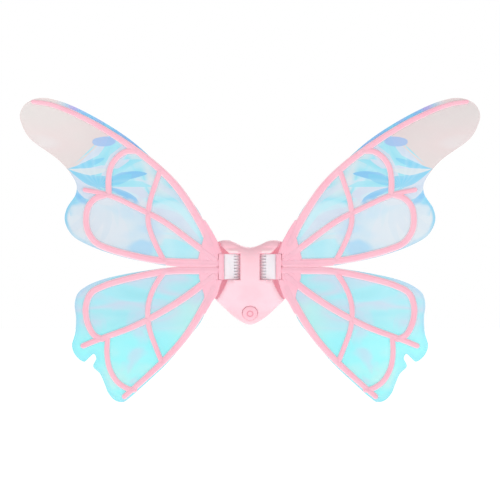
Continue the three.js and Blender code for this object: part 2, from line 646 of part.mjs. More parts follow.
// Each rib: its points from root to end, and its width at both.
const upperRibs = {
  leading: {
    line: [
      [4, 13.5], [8.8, 25.3], [20.3, 46.3], [31.2, 59.4], [49, 75], [66.6, 87.3], [84.2, 96],
      [93.2, 97.7],
    ],
    wide: [10.5, 5.4],
  },
  middle: {
    line: [
      [2, 4.5], [12.2, 13.5], [27.6, 26.8], [42.4, 35.7], [52, 40.9], [60, 43.9], [67.2, 45.5],
    ],
    wide: [9.2, 6.2],
  },
  arch: {
    line: [
      [41.3, 68.6], [46.5, 68.2], [50.8, 65], [54, 59.6], [55.3, 52.1], [55.2, 42.7],
    ],
    wide: [7.6, 8],
  },
  cross: {
    line: [
      [29.3, 57.3], [32, 48], [34.6, 38], [35.4, 26.9], [33.7, 19], [30.5, 10.5], [27.4, 3.6],
    ],
    wide: [7, 7.2],
  },
  loop: {
    line: [
      [56.6, 42.6], [61.6, 40.6], [65.3, 36], [66.6, 29.5], [65.8, 21.5], [61.8, 14.4], [55, 10.6],
      [38.7, 5.5], [26.7, 3.3], [11.5, 2.6], [1, 2.3],
    ],
    wide: [8, 9.6],
  },
};
const lowerRibs = {
  loop: {
    line: [
      [1, -2.8], [12, -2.9], [26.6, -3.5], [44.7, -8.6], [57.5, -14.1], [64, -19.4], [66.7, -29],
      [66, -41], [62.5, -50.6], [58.5, -53.4],
    ],
    wide: [10.4, 8],
  },
  middle: {
    line: [
      [2.7, -6.8], [14.6, -20.3], [27.6, -32.6], [42.9, -44.2], [60.8, -54], [68.1, -58.4],
    ],
    wide: [10, 7.2],
  },
  cross: {
    line: [
      [27.4, -3.8], [32.6, -16], [35.4, -29], [34.9, -45], [31.4, -60], [28.6, -70.3],
    ],
    wide: [7.2, 6.8],
  },
  trailing: {
    line: [
      [2.6, -15.5], [6, -26], [16.1, -50.4], [25.5, -66.5], [36, -81.2], [47.3, -95.8],
    ],
    wide: [11, 7],
  },
  arch: {
    line: [
      [55.8, -52.4], [56.1, -64.8], [54.6, -76], [50.6, -85.4], [45, -90.4], [42.3, -90.8],
    ],
    wide: [7, 7.4],
  },
};

// The solid plate where a wing's ribs run together, from its edge beside the casing outwards.
const ROOT_SPLIT = 0.35; // half the gap between the upper and lower wing roots
const upperRoot = [
  [hubLipX + 0.2, ROOT_SPLIT], [66, ROOT_SPLIT + 0.6], [69, 15], [57.5, 38], [50, 46],
  ...rootAbove.slice(0, 3).reverse(), [hubLipX + 0.2, WINDOW_HALF_HEIGHT - 0.3],
];
const lowerRoot = [
  [hubLipX + 0.2, -ROOT_SPLIT], [hubLipX + 0.2, -WINDOW_HALF_HEIGHT], ...rootBelow.slice(0, 3),
  [50, -42], [60, -33], [67, -15], [66, -ROOT_SPLIT - 0.6],
];

const upperFilm = [
  [6.5, 24], [10, 34.8], [19.6, 49], [31.1, 63.2], [45.7, 77.4], [66.8, 91.5], [80.8, 98.4],
  [89.8, 100], [97.2, 96.5], [100, 90], [98.6, 83], [95, 76], [80.3, 63], [74.4, 55], [71.5, 48.5],
  [71.9, 43], [76.4, 34.5], [77.4, 27.5], [74, 19], [66, 13], [49.7, 6.2], [27.4, 0.8],
];
const lowerFilmTop = [
  [27.4, -0.9], [46.7, -5.4], [59.2, -9.8], [66.5, -14.4], [71, -20], [72.4, -28], [71.7, -38],
  [72.2, -49], [73.8, -58.4], [72, -65.5], [67.7, -70.2], [65, -67], [62.8, -64.5], [61.6, -67.5],
  [63.1, -73.6],
];
const lowerFilmEnd = [
  [63.1, -73.6], [59.7, -79], [57.2, -87.2], [55.4, -93.5], [52, -98.8], [48, -100], [44.9, -97],
  [36, -85.4], [26.2, -71.8], [16.3, -54.8], [7.6, -36.8], [6.4, -26],
];
const FILM_ROOT = [63, 64]; // where each film ends behind its root plate, above and below

const ribSolid = ({ line, wide }) => slabY(stripOutline(line.map(wingPoint), ...wide), frameBack, frameFront);

function wingFrame(ribs, rootPlate, screwSpots) {
  const ribSolids = Object.values(ribs).map(ribSolid);
  const root = slabY(rootPlate, frameBack, frameFront);
  const pilots = screwSpots.map((spot) => rodY(WING_SCREW.hole, spot, [frameBack + 1, frameBack - 2], 8));
  const all = union([root, ...ribSolids]);
  const upper = screwSpots[0][1] > 0;
  const half = upper ? [ROOT_SPLIT, 400] : [-400, -ROOT_SPLIT];
  const beside = block([0, hubLipX + 0.2], [0, -80], [-WINDOW_HALF_HEIGHT, WINDOW_HALF_HEIGHT]);
  return all.intersect(block([0, 400], [0, -80], half)).subtract(union([beside, ...pilots]));
}

function film(outline) {
  return slabY(outline, filmBack, filmBack - FILM_THICK);
}

function upperFilmOutline() {
  const edge = smooth(upperFilm.map(wingPoint), 2);
  return [...edge, [FILM_ROOT[0], ROOT_SPLIT + 1], [FILM_ROOT[0] - 2, 38]];
}

function lowerFilmOutline() {
  const top = smooth(lowerFilmTop.map(wingPoint), 2);
  const end = smooth(lowerFilmEnd.map(wingPoint), 2);
  return [...top, ...end.slice(1), [FILM_ROOT[1] - 4, -38], [FILM_ROOT[1], -ROOT_SPLIT - 1]];
}

// ---------- Fasteners, pins, cells and electrics ----------
// A pan-head screw along +Y from its head, which faces the wearer, with a cross in the head.
function screwAt([x, z], headY, { shank, head, headThick }, length) {
  const profile = [
    [0, 0],
    [head * 0.75, 0],
    [head, -headThick * 0.5],
    [head, -headThick],
    [shank, -headThick],
    [shank, -length + shank],
    [0, -length],
  ];
  const points = profile.map(([r, y]) => new THREE.Vector2(r, y)).reverse();
  const blank = solid(new THREE.LatheGeometry(points, 9));
  if (head < SCREW.head) return blank.translate([x, headY, z]);
  const arms = [[head * 0.6, 0.3], [0.3, head * 0.6]];
  const cross = union(arms.map(([a, b]) => block([-a, a], [1, -headThick * 0.55], [-b, b])));
  return blank.subtract(cross).translate([x, headY, z]);
}

const cellSpots = range(CELL_COUNT).map((i) => bayMiddle + (i - (CELL_COUNT - 1) / 2) * cellPitch);

// An AAA cell along X, its positive end towards +X or, turned round, towards -X.
function cell(z, turned) {
  const half = CELL_LENGTH / 2;
  const profile = [
    [0, -half],
    [CELL_RADIUS - 0.6, -half],
    [CELL_RADIUS, -half + 0.5],
    [CELL_RADIUS, half - 1.4],
    [CELL_RADIUS - 0.6, half - 0.9],
    [1.9, half - 0.9],
    [1.9, half],
    [0, half],
  ];
  const points = profile.map(([r, y]) => new THREE.Vector2(r, y));
  const lathe = new THREE.LatheGeometry(points, 16);
  lathe.rotateZ(turned ? Math.PI / 2 : -Math.PI / 2);
  return solid(lathe).translate([0, cellY, z]);
}

// A plated strip against one end of the bay, with a coned spring for each flat end of a cell.
function contactStrip(side) {
  const wallX = side * (bayHalfWidth - 0.2);
  const deep = [cellY - 4, cellY + 4];
  const height = [cellSpots[0] - 4, cellSpots[CELL_COUNT - 1] + 4];
  const strip = block([wallX - side * 0.5, wallX], deep, height);
  const cones = cellSpots.map((z, i) => {
    const touchesFlatEnd = (i % 2 === 0) === (side < 0);
    const length = touchesFlatEnd ? CONTACT_SPACE - 1 : CONTACT_SPACE - 1.2;
    const cone = new THREE.CylinderGeometry(touchesFlatEnd ? 2 : 1.6, touchesFlatEnd ? 3.4 : 2.2, length, 10);
    cone.rotateZ((side * Math.PI) / 2);
    cone.translate(wallX - side * (0.3 + length / 2), cellY, z);
    return solid(cone);
  });
  return union([strip, ...cones]);
}

const BOARD = { left: -5.6, right: 11.5, back: 12.2, thick: 1.2, low: -6.5, high: 7 };
const SWITCH = { half: 3, tall: 3.4, plunger: 1.7, out: 1.4 };

function circuitBoard() {
  const { left, right, back, thick, low, high } = BOARD;
  const board = block([left, right], [back - thick, back], [low, high]);
  const chip = block([right - 6.5, right - 1.5], [back - thick - 1.2, back - thick + 0.1], [1, 5]);
  const resistor = block([right - 6, right - 3], [back - thick - 0.8, back - thick + 0.1], [-4, -2.4]);
  return atButton(union([board, chip, resistor]));
}

const switchBack = BOARD.back - BOARD.thick - SEAM;
const switchFront = switchBack - SWITCH.tall;

function switchBody() {
  const body = block([-SWITCH.half, SWITCH.half], [switchFront, switchBack], [-SWITCH.half, SWITCH.half]);
  const well = rodY(SWITCH.plunger + 0.2, [0, 0], [switchFront - 1, switchBack - 0.6], 14);
  return atButton(body.subtract(well));
}

function switchPlunger() {
  return atButton(rodY(SWITCH.plunger, [0, 0], [switchFront - SWITCH.out, switchFront + 0.8], 14));
}

const MARK = { inner: 3, outer: 4.4, raise: 0.3 }; // a ring moulded on the button

// A domed cap with a flange that keeps it in, and a stem that reaches the switch.
function powerButton() {
  const cap = BUTTON_RADIUS;
  const skirt = BUTTON_RADIUS + BUTTON_FLANGE;
  const profile = [
    [0, -0.9],
    [MARK.inner, -0.85],
    [MARK.inner + 0.2, -0.85 - MARK.raise],
    [MARK.outer - 0.2, -0.8 - MARK.raise],
    [MARK.outer, -0.75],
    [cap * 0.9, 0.1],
    [cap, 0.9],
    [cap, 3.7],
    [skirt, 3.7],
    [skirt, 4.9],
    [cap - 1.6, 4.9],
    [cap - 1.6, 2.4],
    [2.6, 2.4],
    [2.6, switchFront - SWITCH.out - 0.2],
    [0, switchFront - SWITCH.out - 0.2],
  ];
  const points = profile.map(([r, y]) => new THREE.Vector2(r, y));
  return atButton(solid(new THREE.LatheGeometry(points, 24)));
}

// ---------- Materials ----------
const plastic = (color, roughness = 0.42) => new THREE.MeshStandardMaterial({ color, roughness, metalness: 0 });
const metal = (color, roughness = 0.3) => new THREE.MeshStandardMaterial({ color, roughness, metalness: 1 });
const casingPink = plastic(0xfbd0da);
const framePink = plastic(0xfabfd0, 0.5);
const armWhite = plastic(0xf2f0f2, 0.38);
const gearWhite = plastic(0xe9e6df, 0.5);
const filmBlue = plastic(0xbfe4f2, 0.12);
filmBlue.transparent = true;
filmBlue.opacity = 0.8;
const steel = metal(0xc9ccd0);
const brass = metal(0xc9a85a, 0.35);
const boardGreen = plastic(0x2f7d4c, 0.5);
const switchBlack = plastic(0x2b2b2d, 0.5);
const cellWrap = plastic(0x8f9aa6, 0.35);

// ---------- Assembly ----------
const wings = new THREE.Group();

function put(name, made, material, group = wings) {
  const mesh = new THREE.Mesh(geometryOf(made), material);
  mesh.name = name;
  group.add(mesh);
  return mesh;
}

put("front_cover", frontCover(), casingPink);
put("back_cover", backCover(), casingPink);
put("battery_door", batteryDoor(), casingPink);
put("chassis", chassis(), casingPink);
put("power_button", powerButton(), framePink);
put("switch_plunger", switchPlunger(), switchBlack);
put("switch_body", switchBody(), switchBlack);
put("circuit_board", circuitBoard(), boardGreen);
put("rack_slider", rackSlider(), gearWhite);
put("crank_gear", crankGear(), gearWhite);
put("crank_axle", rodZ(PIN_RADIUS, [0, crankY], [motorTop - 3.4, crankTop + 0.6], 16), steel);
put("motor_pinion", motorPinion(), brass);
put("motor_gearbox", motorGearbox(), brass);
put("motor_can", motorCan(), steel);
cellSpots.forEach((z, i) => put(`battery_${i + 1}`, cell(z, i % 2 === 1), cellWrap));
put("contact_left", contactStrip(-1), steel);
put("contact_right", contactStrip(1), steel);
put("door_screw", screwAt(doorScrewSpot, -SEAM, SCREW, 7.5), steel);
put("case_screw_tip", screwAt(tipScrewSpot, -0.2, SCREW, SCREW.length), steel);

for (const [side, sign] of [["right", 1], ["left", -1]]) {
  const hand = new THREE.Group();
  hand.scale.x = sign;
  wings.add(hand);
  const pin = rodZ(PIN_RADIUS, [HINGE_X, hingeY], [pinBottom, pinTop], 16);
  put(`arm_${side}`, arm(), armWhite, hand);
  put(`hinge_pin_${side}`, pin, steel, hand);
  put(`wing_hub_${side}`, wingHub(), framePink, hand);
  const upper = wingFrame(upperRibs, upperRoot, wingScrewSpots.slice(0, 2));
  const lower = wingFrame(lowerRibs, lowerRoot, wingScrewSpots.slice(2));
  put(`upper_frame_${side}`, upper, framePink, hand);
  put(`lower_frame_${side}`, lower, framePink, hand);
  put(`upper_film_${side}`, film(upperFilmOutline()), filmBlue, hand);
  put(`lower_film_${side}`, film(lowerFilmOutline()), filmBlue, hand);
  wingScrewSpots.forEach((spot, i) => {
    const screw = screwAt(spot, hubBack - 0.2, WING_SCREW, 7.4);
    put(`wing_screw_${side}_${i + 1}`, screw, steel, hand);
  });
  caseScrewSpots.forEach((spot, i) => {
    put(`case_screw_${side}_${i + 1}`, screwAt(spot, -0.2, SCREW, SCREW.length), steel, hand);
  });
}

export default wings;
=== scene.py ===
"""Looks for the motorised fairy wings: a pink heart casing with white swing arms, and two pairs of
butterfly wings of iridescent film on moulded pink ribs.

Shapes are grids of points worked out with numpy, in metres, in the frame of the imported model: +X to the
viewer's right, -Y out of the heart's front, +Z up. Both hands come from one right-hand shape, mirrored.
"""

import math

import bmesh
import bpy
import numpy as np
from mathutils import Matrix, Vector
from mathutils.geometry import delaunay_2d_cdt


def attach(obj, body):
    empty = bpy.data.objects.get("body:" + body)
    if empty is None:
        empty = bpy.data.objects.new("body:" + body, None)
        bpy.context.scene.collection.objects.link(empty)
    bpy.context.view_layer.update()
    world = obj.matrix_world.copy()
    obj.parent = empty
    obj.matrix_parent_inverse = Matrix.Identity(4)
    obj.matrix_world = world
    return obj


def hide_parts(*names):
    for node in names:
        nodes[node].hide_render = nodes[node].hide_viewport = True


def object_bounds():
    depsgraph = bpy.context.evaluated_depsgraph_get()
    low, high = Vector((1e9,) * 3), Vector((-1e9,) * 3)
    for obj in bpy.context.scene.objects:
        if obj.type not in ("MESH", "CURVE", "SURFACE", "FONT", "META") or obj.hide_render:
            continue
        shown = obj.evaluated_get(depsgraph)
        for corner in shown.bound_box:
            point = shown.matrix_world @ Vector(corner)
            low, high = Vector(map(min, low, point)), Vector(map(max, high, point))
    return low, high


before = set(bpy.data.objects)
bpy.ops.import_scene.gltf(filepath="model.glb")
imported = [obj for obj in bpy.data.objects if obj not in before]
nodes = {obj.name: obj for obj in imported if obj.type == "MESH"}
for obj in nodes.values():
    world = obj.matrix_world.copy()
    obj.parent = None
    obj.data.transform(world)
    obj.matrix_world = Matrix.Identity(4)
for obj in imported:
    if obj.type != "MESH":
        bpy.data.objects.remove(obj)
cad_low, cad_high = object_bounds()
MM = 0.001


# ---------- Sizes, in millimetres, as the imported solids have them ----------
heart_half_width, heart_top, heart_bottom = 56.0, 34.8, 76.5
heart_centre_z = -0.13 * heart_bottom
cover_back, dome_rise, dome_power, cover_wall = -16.2, 30.0, 3.4, 2.0
window_half_height, window_inner_x = 16.9, 12.7
frame_back, rib_depth, film_front = -37.6, 2.8, -37.5
lip_x = 41.0
wing_reach, upper_rise, lower_drop = 259.0, 220.0, 176.5
button_face = (0.0, -42.5389, -61.0)
button_tilt = math.radians(19.0184)
SIDES = (("right", 1), ("left", -1))


# ---------- Lines and meshes ----------
def smooth_line(points, steps, closed=False):
    """A centripetal Catmull-Rom curve: on each span a cubic whose end slopes come from the neighbouring
    points, with each knot interval the square root of the distance."""
    p = np.array(points, float)
    if closed:
        before, after = np.roll(p, 1, 0), np.roll(p, -2, 0)
        start, end = p, np.roll(p, -1, 0)
    else:
        padded = np.vstack([2 * p[0] - p[1], p, 2 * p[-1] - p[-2]])
        before, start, end, after = padded[:-3], padded[1:-2], padded[2:-1], padded[3:]
    gap = [np.sqrt(np.linalg.norm(b - a, axis=1))[:, None] for a, b in
           ((before, start), (start, end), (end, after))]
    slope_a = (start - before) / gap[0] - (end - before) / (gap[0] + gap[1]) + (end - start) / gap[1]
    slope_b = (end - start) / gap[1] - (after - start) / (gap[1] + gap[2]) + (after - end) / gap[2]
    slope_a, slope_b = slope_a * gap[1], slope_b * gap[1]
    t = (np.arange(steps) / steps)[None, :, None]
    s, e, a, b = start[:, None], end[:, None], slope_a[:, None], slope_b[:, None]
    line = (s + a * t + (-3 * s + 3 * e - 2 * a - b) * t**2 + (2 * s - 2 * e + a + b) * t**3)
    line = line.reshape(-1, p.shape[1])
    return line if closed else np.vstack([line, p[-1]])


def travelled(line):
    """The length of a polyline up to each of its points."""
    return np.concatenate([[0], np.cumsum(np.linalg.norm(np.diff(line, axis=0), axis=1))])


def along(line, count):
    """The same line with count points at even arc lengths."""
    line = np.array(line, float)
    length = travelled(line)
    share = np.linspace(0, 1, count) * length[-1]
    return np.stack([np.interp(share, length, line[:, k]) for k in range(line.shape[1])], 1)


def nearest(points, line):
    """The distance from each point to a polyline, both flat."""
    start, run = line[:-1][None], np.diff(line, axis=0)[None]
    offset = points[:, None] - start
    share = np.clip((offset * run).sum(-1) / np.maximum((run * run).sum(-1), 1e-9), 0, 1)
    return np.linalg.norm(offset - share[..., None] * run, axis=-1).min(1)


def ramp(x, low, high):
    """0 below low, 1 above high, and the smooth cubic 3t^2 - 2t^3 between."""
    t = np.clip((x - low) / (high - low), 0, 1)
    return t * t * (3 - 2 * t)


def mesh_piece(name, points, faces, material, body, stands_for=(), smooth_angle=None, marks=None,
               lining=None):
    """Makes an object at the origin from points in millimetres, merges its doubles, and lets it ride.
    marks holds named values, one for each point, for the material to read. lining is a second material,
    with a 1 for each face that it covers."""
    mesh = bpy.data.meshes.new(name)
    mesh.from_pydata((np.asarray(points) * MM).tolist(), [], np.asarray(faces).tolist())
    if lining:
        mesh.polygons.foreach_set("material_index", lining[1])
    for label, values in (marks or {}).items():
        mesh.attributes.new(label, "FLOAT", "POINT").data.foreach_set("value", values)
    piece = bpy.data.objects.new(name, mesh)
    bpy.context.scene.collection.objects.link(piece)
    finish_mesh(mesh, smooth_angle)
    mesh.materials.append(material)
    if lining:
        mesh.materials.append(lining[0])
    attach(piece, body)
    if stands_for:
        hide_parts(*stands_for)
    return piece


def finish_mesh(mesh, smooth_angle=None):
    """Merges doubles, drops faces of no area, points faces outwards and shades the mesh smooth."""
    merge = 2e-6
    work = bmesh.new()
    work.from_mesh(mesh)
    bmesh.ops.remove_doubles(work, verts=work.verts, dist=merge)
    bmesh.ops.dissolve_degenerate(work, dist=merge / 2, edges=work.edges)
    bmesh.ops.recalc_face_normals(work, faces=work.faces)
    work.to_mesh(mesh)
    work.free()
    mesh.polygons.foreach_set("use_smooth", np.ones(len(mesh.polygons), bool))
    if smooth_angle is not None:
        mesh.set_sharp_from_angle(angle=math.radians(smooth_angle))
    mesh.update()


def grid_faces(rows, columns, wrap_rows=False, wrap_columns=False, first=0):
    """Quads between neighbouring rows and columns of a grid that is stored row by row."""
    i = np.arange(rows if wrap_rows else rows - 1)[:, None]
    j = np.arange(columns if wrap_columns else columns - 1)[None, :]
    i2, j2 = (i + 1) % rows, (j + 1) % columns
    quad = np.stack(np.broadcast_arrays(i * columns + j, i * columns + j2, i2 * columns + j2,
                                        i2 * columns + j), -1)
    return quad.reshape(-1, 4) + first


def join_grids(grids):
    """Points and faces of several grids together. Each is (points of shape rows x columns x 3, wraps)."""
    points, faces, first = [], [], 0
    for grid, wraps in grids:
        rows, columns = grid.shape[:2]
        points.append(grid.reshape(-1, 3))
        faces.append(grid_faces(rows, columns, *wraps, first=first))
        first += rows * columns
    return np.vstack(points), np.vstack(faces)


def backed(points, faces, shift):
    """An open surface, a copy of it moved by shift, and a strip round every open edge between the two, so
    that they close. Returns points, faces, and 1 for each face of the copy."""
    used, faces = np.unique(faces, return_inverse=True)
    points, shift, faces = points[used], shift[used], faces.reshape(-1, 4)
    edges = np.stack([faces, np.roll(faces, -1, 1)], -1).reshape(-1, 2)
    label = np.sort(edges, 1) @ np.array([len(points), 1])
    _, which, uses = np.unique(label, return_inverse=True, return_counts=True)
    start, end = edges[uses[which.reshape(-1)] == 1].T
    strip = np.stack([end, start, start + len(points), end + len(points)], 1)
    whole = np.vstack([faces, faces[:, ::-1] + len(points), strip])
    copied = np.concatenate([np.zeros(len(faces), int), np.ones(len(faces), int), np.zeros(len(strip), int)])
    return np.vstack([points, points + shift]), whole, copied


def applied(piece):
    """Applies the piece's modifiers to its mesh."""
    bpy.context.view_layer.update()
    done = bpy.data.meshes.new_from_object(piece.evaluated_get(bpy.context.evaluated_depsgraph_get()))
    piece.modifiers.clear()
    piece.data = done


def walled(piece, wall):
    """Gives an open surface a wall that grows inwards, with a closed rim."""
    solidify = piece.modifiers.new("wall", "SOLIDIFY")
    solidify.thickness = wall * MM
    solidify.offset = -1
    applied(piece)
    piece.data.set_sharp_from_angle(angle=math.radians(50))


def refined(node, name, material, body, bevel, angle):
    """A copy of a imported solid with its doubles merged, fine rounded edges and smooth shading."""
    piece = bpy.data.objects.new(name, nodes[node].data.copy())
    bpy.context.scene.collection.objects.link(piece)
    piece.data.materials.clear()
    finish_mesh(piece.data, angle)
    piece.data.materials.append(material)
    if bevel:
        edge = piece.modifiers.new("rounded edges", "BEVEL")
        edge.width = bevel * MM
        edge.segments = 2
        edge.limit_method = "ANGLE"
        edge.angle_limit = math.radians(angle)
        edge.use_clamp_overlap = True
        applied(piece)
        piece.data.set_sharp_from_angle(angle=math.radians(60))
    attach(piece, body)
    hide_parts(node)


# ---------- Materials ----------
def colour(red, green, blue):
    """A screen colour, 0 to 255, as linear light."""
    c = np.array([red, green, blue]) / 255
    c = np.where(c <= 0.04045, c / 12.92, ((c + 0.055) / 1.055) ** 2.4)
    return (*c.tolist(), 1.0)


class Nodes:
    """Short ways to add and link shader nodes in one tree."""

    def __init__(self, tree):
        self.tree = tree

    def add(self, kind, inputs=(), **settings):
        node = self.tree.nodes.new(kind)
        for key, value in settings.items():
            setattr(node, key, value)
        self.fill(node, dict(inputs))
        return node

    def fill(self, node, inputs):
        """Each input, by its name or number, takes a plain value or a link."""
        for key, value in inputs.items():
            if isinstance(value, bpy.types.NodeSocket):
                self.tree.links.new(value, node.inputs[key])
            else:
                node.inputs[key].default_value = value

    def math(self, operation, a, b=0.0, clamp=False):
        return self.add("ShaderNodeMath", {0: a, 1: b}, operation=operation, use_clamp=clamp).outputs[0]

    def times(self, value, *others):
        for other in others:
            value = self.math("MULTIPLY", value, other)
        return value

    def plus(self, a, b):
        return self.math("ADD", a, b)

    def minus(self, a, b):
        return self.math("SUBTRACT", a, b)

    def mix(self, share, a, b, blend="MIX"):
        inputs = {0: share, 6: a, 7: b}
        return self.add("ShaderNodeMix", inputs, data_type="RGBA", blend_type=blend).outputs[2]

    def span(self, value, low, high, to_low=0.0, to_high=1.0, smooth=True):
        inputs = dict(enumerate((value, low, high, to_low, to_high)))
        kind = "SMOOTHSTEP" if smooth else "LINEAR"
        return self.add("ShaderNodeMapRange", inputs, interpolation_type=kind).outputs[0]

    def split(self, vector):
        return self.add("ShaderNodeSeparateXYZ", {"Vector": vector}).outputs

    def noise(self, vector, scale, detail=2.0, roughness=0.5, distortion=0.0):
        return self.add("ShaderNodeTexNoise", {"Vector": vector, "Scale": scale, "Detail": detail,
                                               "Roughness": roughness, "Distortion": distortion}).outputs[0]

    def steps(self, value, stops, interpolation="LINEAR"):
        """A colour ramp with stops of (position, colour)."""
        node = self.add("ShaderNodeValToRGB", {"Fac": value})
        node.color_ramp.interpolation = interpolation
        elements = node.color_ramp.elements
        while len(elements) < len(stops):
            elements.new(0.5)
        for element, (place, shade) in zip(elements, stops):
            element.position, element.color = place, shade
        return node.outputs[0]


def group(name, inputs, outputs):
    """An empty shader group with named sockets, given as (name, kind, default)."""
    tree = bpy.data.node_groups.new(name, "ShaderNodeTree")
    for label, kind, default in inputs:
        socket = tree.interface.new_socket(label, in_out="INPUT", socket_type="NodeSocket" + kind)
        if default is not None:
            socket.default_value = default
    for label, kind in outputs:
        tree.interface.new_socket(label, in_out="OUTPUT", socket_type="NodeSocket" + kind)
    n = Nodes(tree)
    return tree, n, n.add("NodeGroupInput").outputs, n.add("NodeGroupOutput")


def moulding_group():
    """Moulded plastic: a faint cloudiness in the colour, a fine satin grain and slow waves where the
    moulding shrank. Height is the sum of the grain's and the waves' noise."""
    tree, n, given, out = group(
        "moulded plastic",
        [("Vector", "Vector", None), ("Base", "Color", (0.8, 0.8, 0.8, 1)),
         ("Deep", "Color", (0.6, 0.6, 0.6, 1))],
        [("Color", "Color"), ("Roughness shift", "Float"), ("Height", "Float")])
    cloud = n.span(n.noise(given["Vector"], 34.0, 3.0), 0.35, 0.75)
    grain, waves = n.noise(given["Vector"], 2600.0), n.noise(given["Vector"], 60.0, 1.0)
    n.fill(out, {"Color": n.mix(cloud, given["Base"], given["Deep"]),
                 "Roughness shift": n.times(n.minus(grain, 0.5), 0.12),
                 "Height": n.plus(n.times(grain, 0.000035), n.times(waves, 0.0002))})
    return tree


MOULDING = moulding_group()


def principled(name):
    """A new material: its node helper, its Principled BSDF and its Object coordinates."""
    material = bpy.data.materials.new(name)
    material.use_nodes = True
    n = Nodes(material.node_tree)
    shader = material.node_tree.nodes["Principled BSDF"]
    return material, n, shader, n.add("ShaderNodeTexCoord").outputs["Object"]


def bump(n, shader, height, strength=0.6):
    node = n.add("ShaderNodeBump", {"Height": height, "Strength": strength, "Distance": 1.0})
    n.fill(shader, {"Normal": node.outputs[0]})


def moulded(name, base, deep, roughness, extra=None, glow=0.0):
    """Moulded plastic in two close colours. extra may change the colour, and glow is painted light: an
    emission in the surface's own colour that stands in for the light that comes through a thin wall."""
    material, n, shader, place = principled(name)
    made = n.add("ShaderNodeGroup", {"Vector": place, "Base": colour(*base), "Deep": colour(*deep)},
                 node_tree=MOULDING).outputs
    shade = extra(n, place, made["Color"]) if extra else made["Color"]
    rough = n.math("ADD", made["Roughness shift"], roughness, clamp=True)
    bump(n, shader, made["Height"])
    n.fill(shader, {"Base Color": shade, "Roughness": rough, "Specular IOR Level": 0.3,
                    "Subsurface Weight": 0.12, "Subsurface Radius": (1.0, 0.5, 0.5),
                    "Subsurface Scale": 0.002})
    # Painted light: the surface glows in its own colour.
    if glow:
        n.fill(shader, {"Emission Color": shade, "Emission Strength": glow})
    return material


def metal(name, base, roughness):
    """Bright metal with fine turned lines and dull spots."""
    material, n, shader, place = principled(name)
    lines, spots = n.noise(place, 900.0, 4.0, 0.7, 0.2), n.noise(place, 120.0, 3.0)
    dull = n.span(spots, 0.3, 0.8, 0, 0.35)
    n.fill(shader, {"Base Color": n.mix(dull, colour(*base), colour(120, 116, 112)),
                    "Roughness": n.span(lines, 0.2, 0.8, roughness - 0.08, roughness + 0.14),
                    "Metallic": 1.0})
    bump(n, shader, n.times(lines, 0.00004))
    return material


def petals_group():
    """One fan of printed petals. Round the fan's centre, the angle is bent by the distance and by slow
    noise, and a 1-D Voronoi cuts it into petals of uneven width. Tone is random for each petal, Inside is
    1 as far out as the petal reaches, and Vein falls from its border to its middle."""
    tree, n, given, out = group(
        "film petals",
        [("Vector", "Vector", None), ("Centre X", "Float", 0.0), ("Centre Z", "Float", 0.0),
         ("Count", "Float", 14.0), ("Bend", "Float", 0.0), ("Shortest", "Float", 0.03),
         ("Longest", "Float", 0.1), ("Seed", "Float", 0.0)],
        [("Tone", "Float"), ("Inside", "Float"), ("Vein", "Float")])
    place = n.split(given["Vector"])
    out_x = n.minus(n.math("ABSOLUTE", place[0]), given["Centre X"])
    up = n.minus(place[2], given["Centre Z"])
    distance = n.math("SQRT", n.plus(n.times(out_x, out_x), n.times(up, up)))
    angle = n.math("DIVIDE", n.math("ARCTAN2", up, out_x), 2 * math.pi)
    flat = n.add("ShaderNodeCombineXYZ", {"X": out_x, "Y": up, "Z": given["Seed"]})
    drift = n.minus(n.noise(flat.outputs[0], 16.0, 1.0), 0.5)
    turned = n.plus(n.plus(angle, n.times(distance, given["Bend"])), n.times(drift, 0.05))
    turned = n.plus(n.times(turned, given["Count"]), given["Seed"])
    cell, border = (n.add("ShaderNodeTexVoronoi", {"W": turned, "Scale": 1.0}, voronoi_dimensions="1D",
                          feature=feature).outputs for feature in ("F1", "DISTANCE_TO_EDGE"))
    chance = n.add("ShaderNodeSeparateColor", {"Color": cell["Color"]}).outputs
    middle = n.span(border["Distance"], 0.0, 0.5, 0.55, 1.0)
    reach = n.times(n.span(chance[1], 0.0, 1.0, given["Shortest"], given["Longest"], False), middle)
    n.fill(out, {"Tone": chance[0], "Inside": n.span(n.minus(reach, distance), -0.0006, 0.0006),
                 "Vein": n.span(border["Distance"], 0.0, 0.35, 1.0, 0.0)})
    return tree


PETALS = petals_group()
SKY, BLUE, CYAN = colour(118, 202, 240), colour(112, 188, 240), colour(142, 218, 242)
AQUA, LILAC, VIOLET = colour(138, 240, 250), colour(204, 214, 238), colour(166, 160, 232)
ROSE, MILK, PEARL = colour(222, 207, 215), colour(217, 209, 216), colour(212, 221, 234)
WARMTH = colour(255, 254, 246)


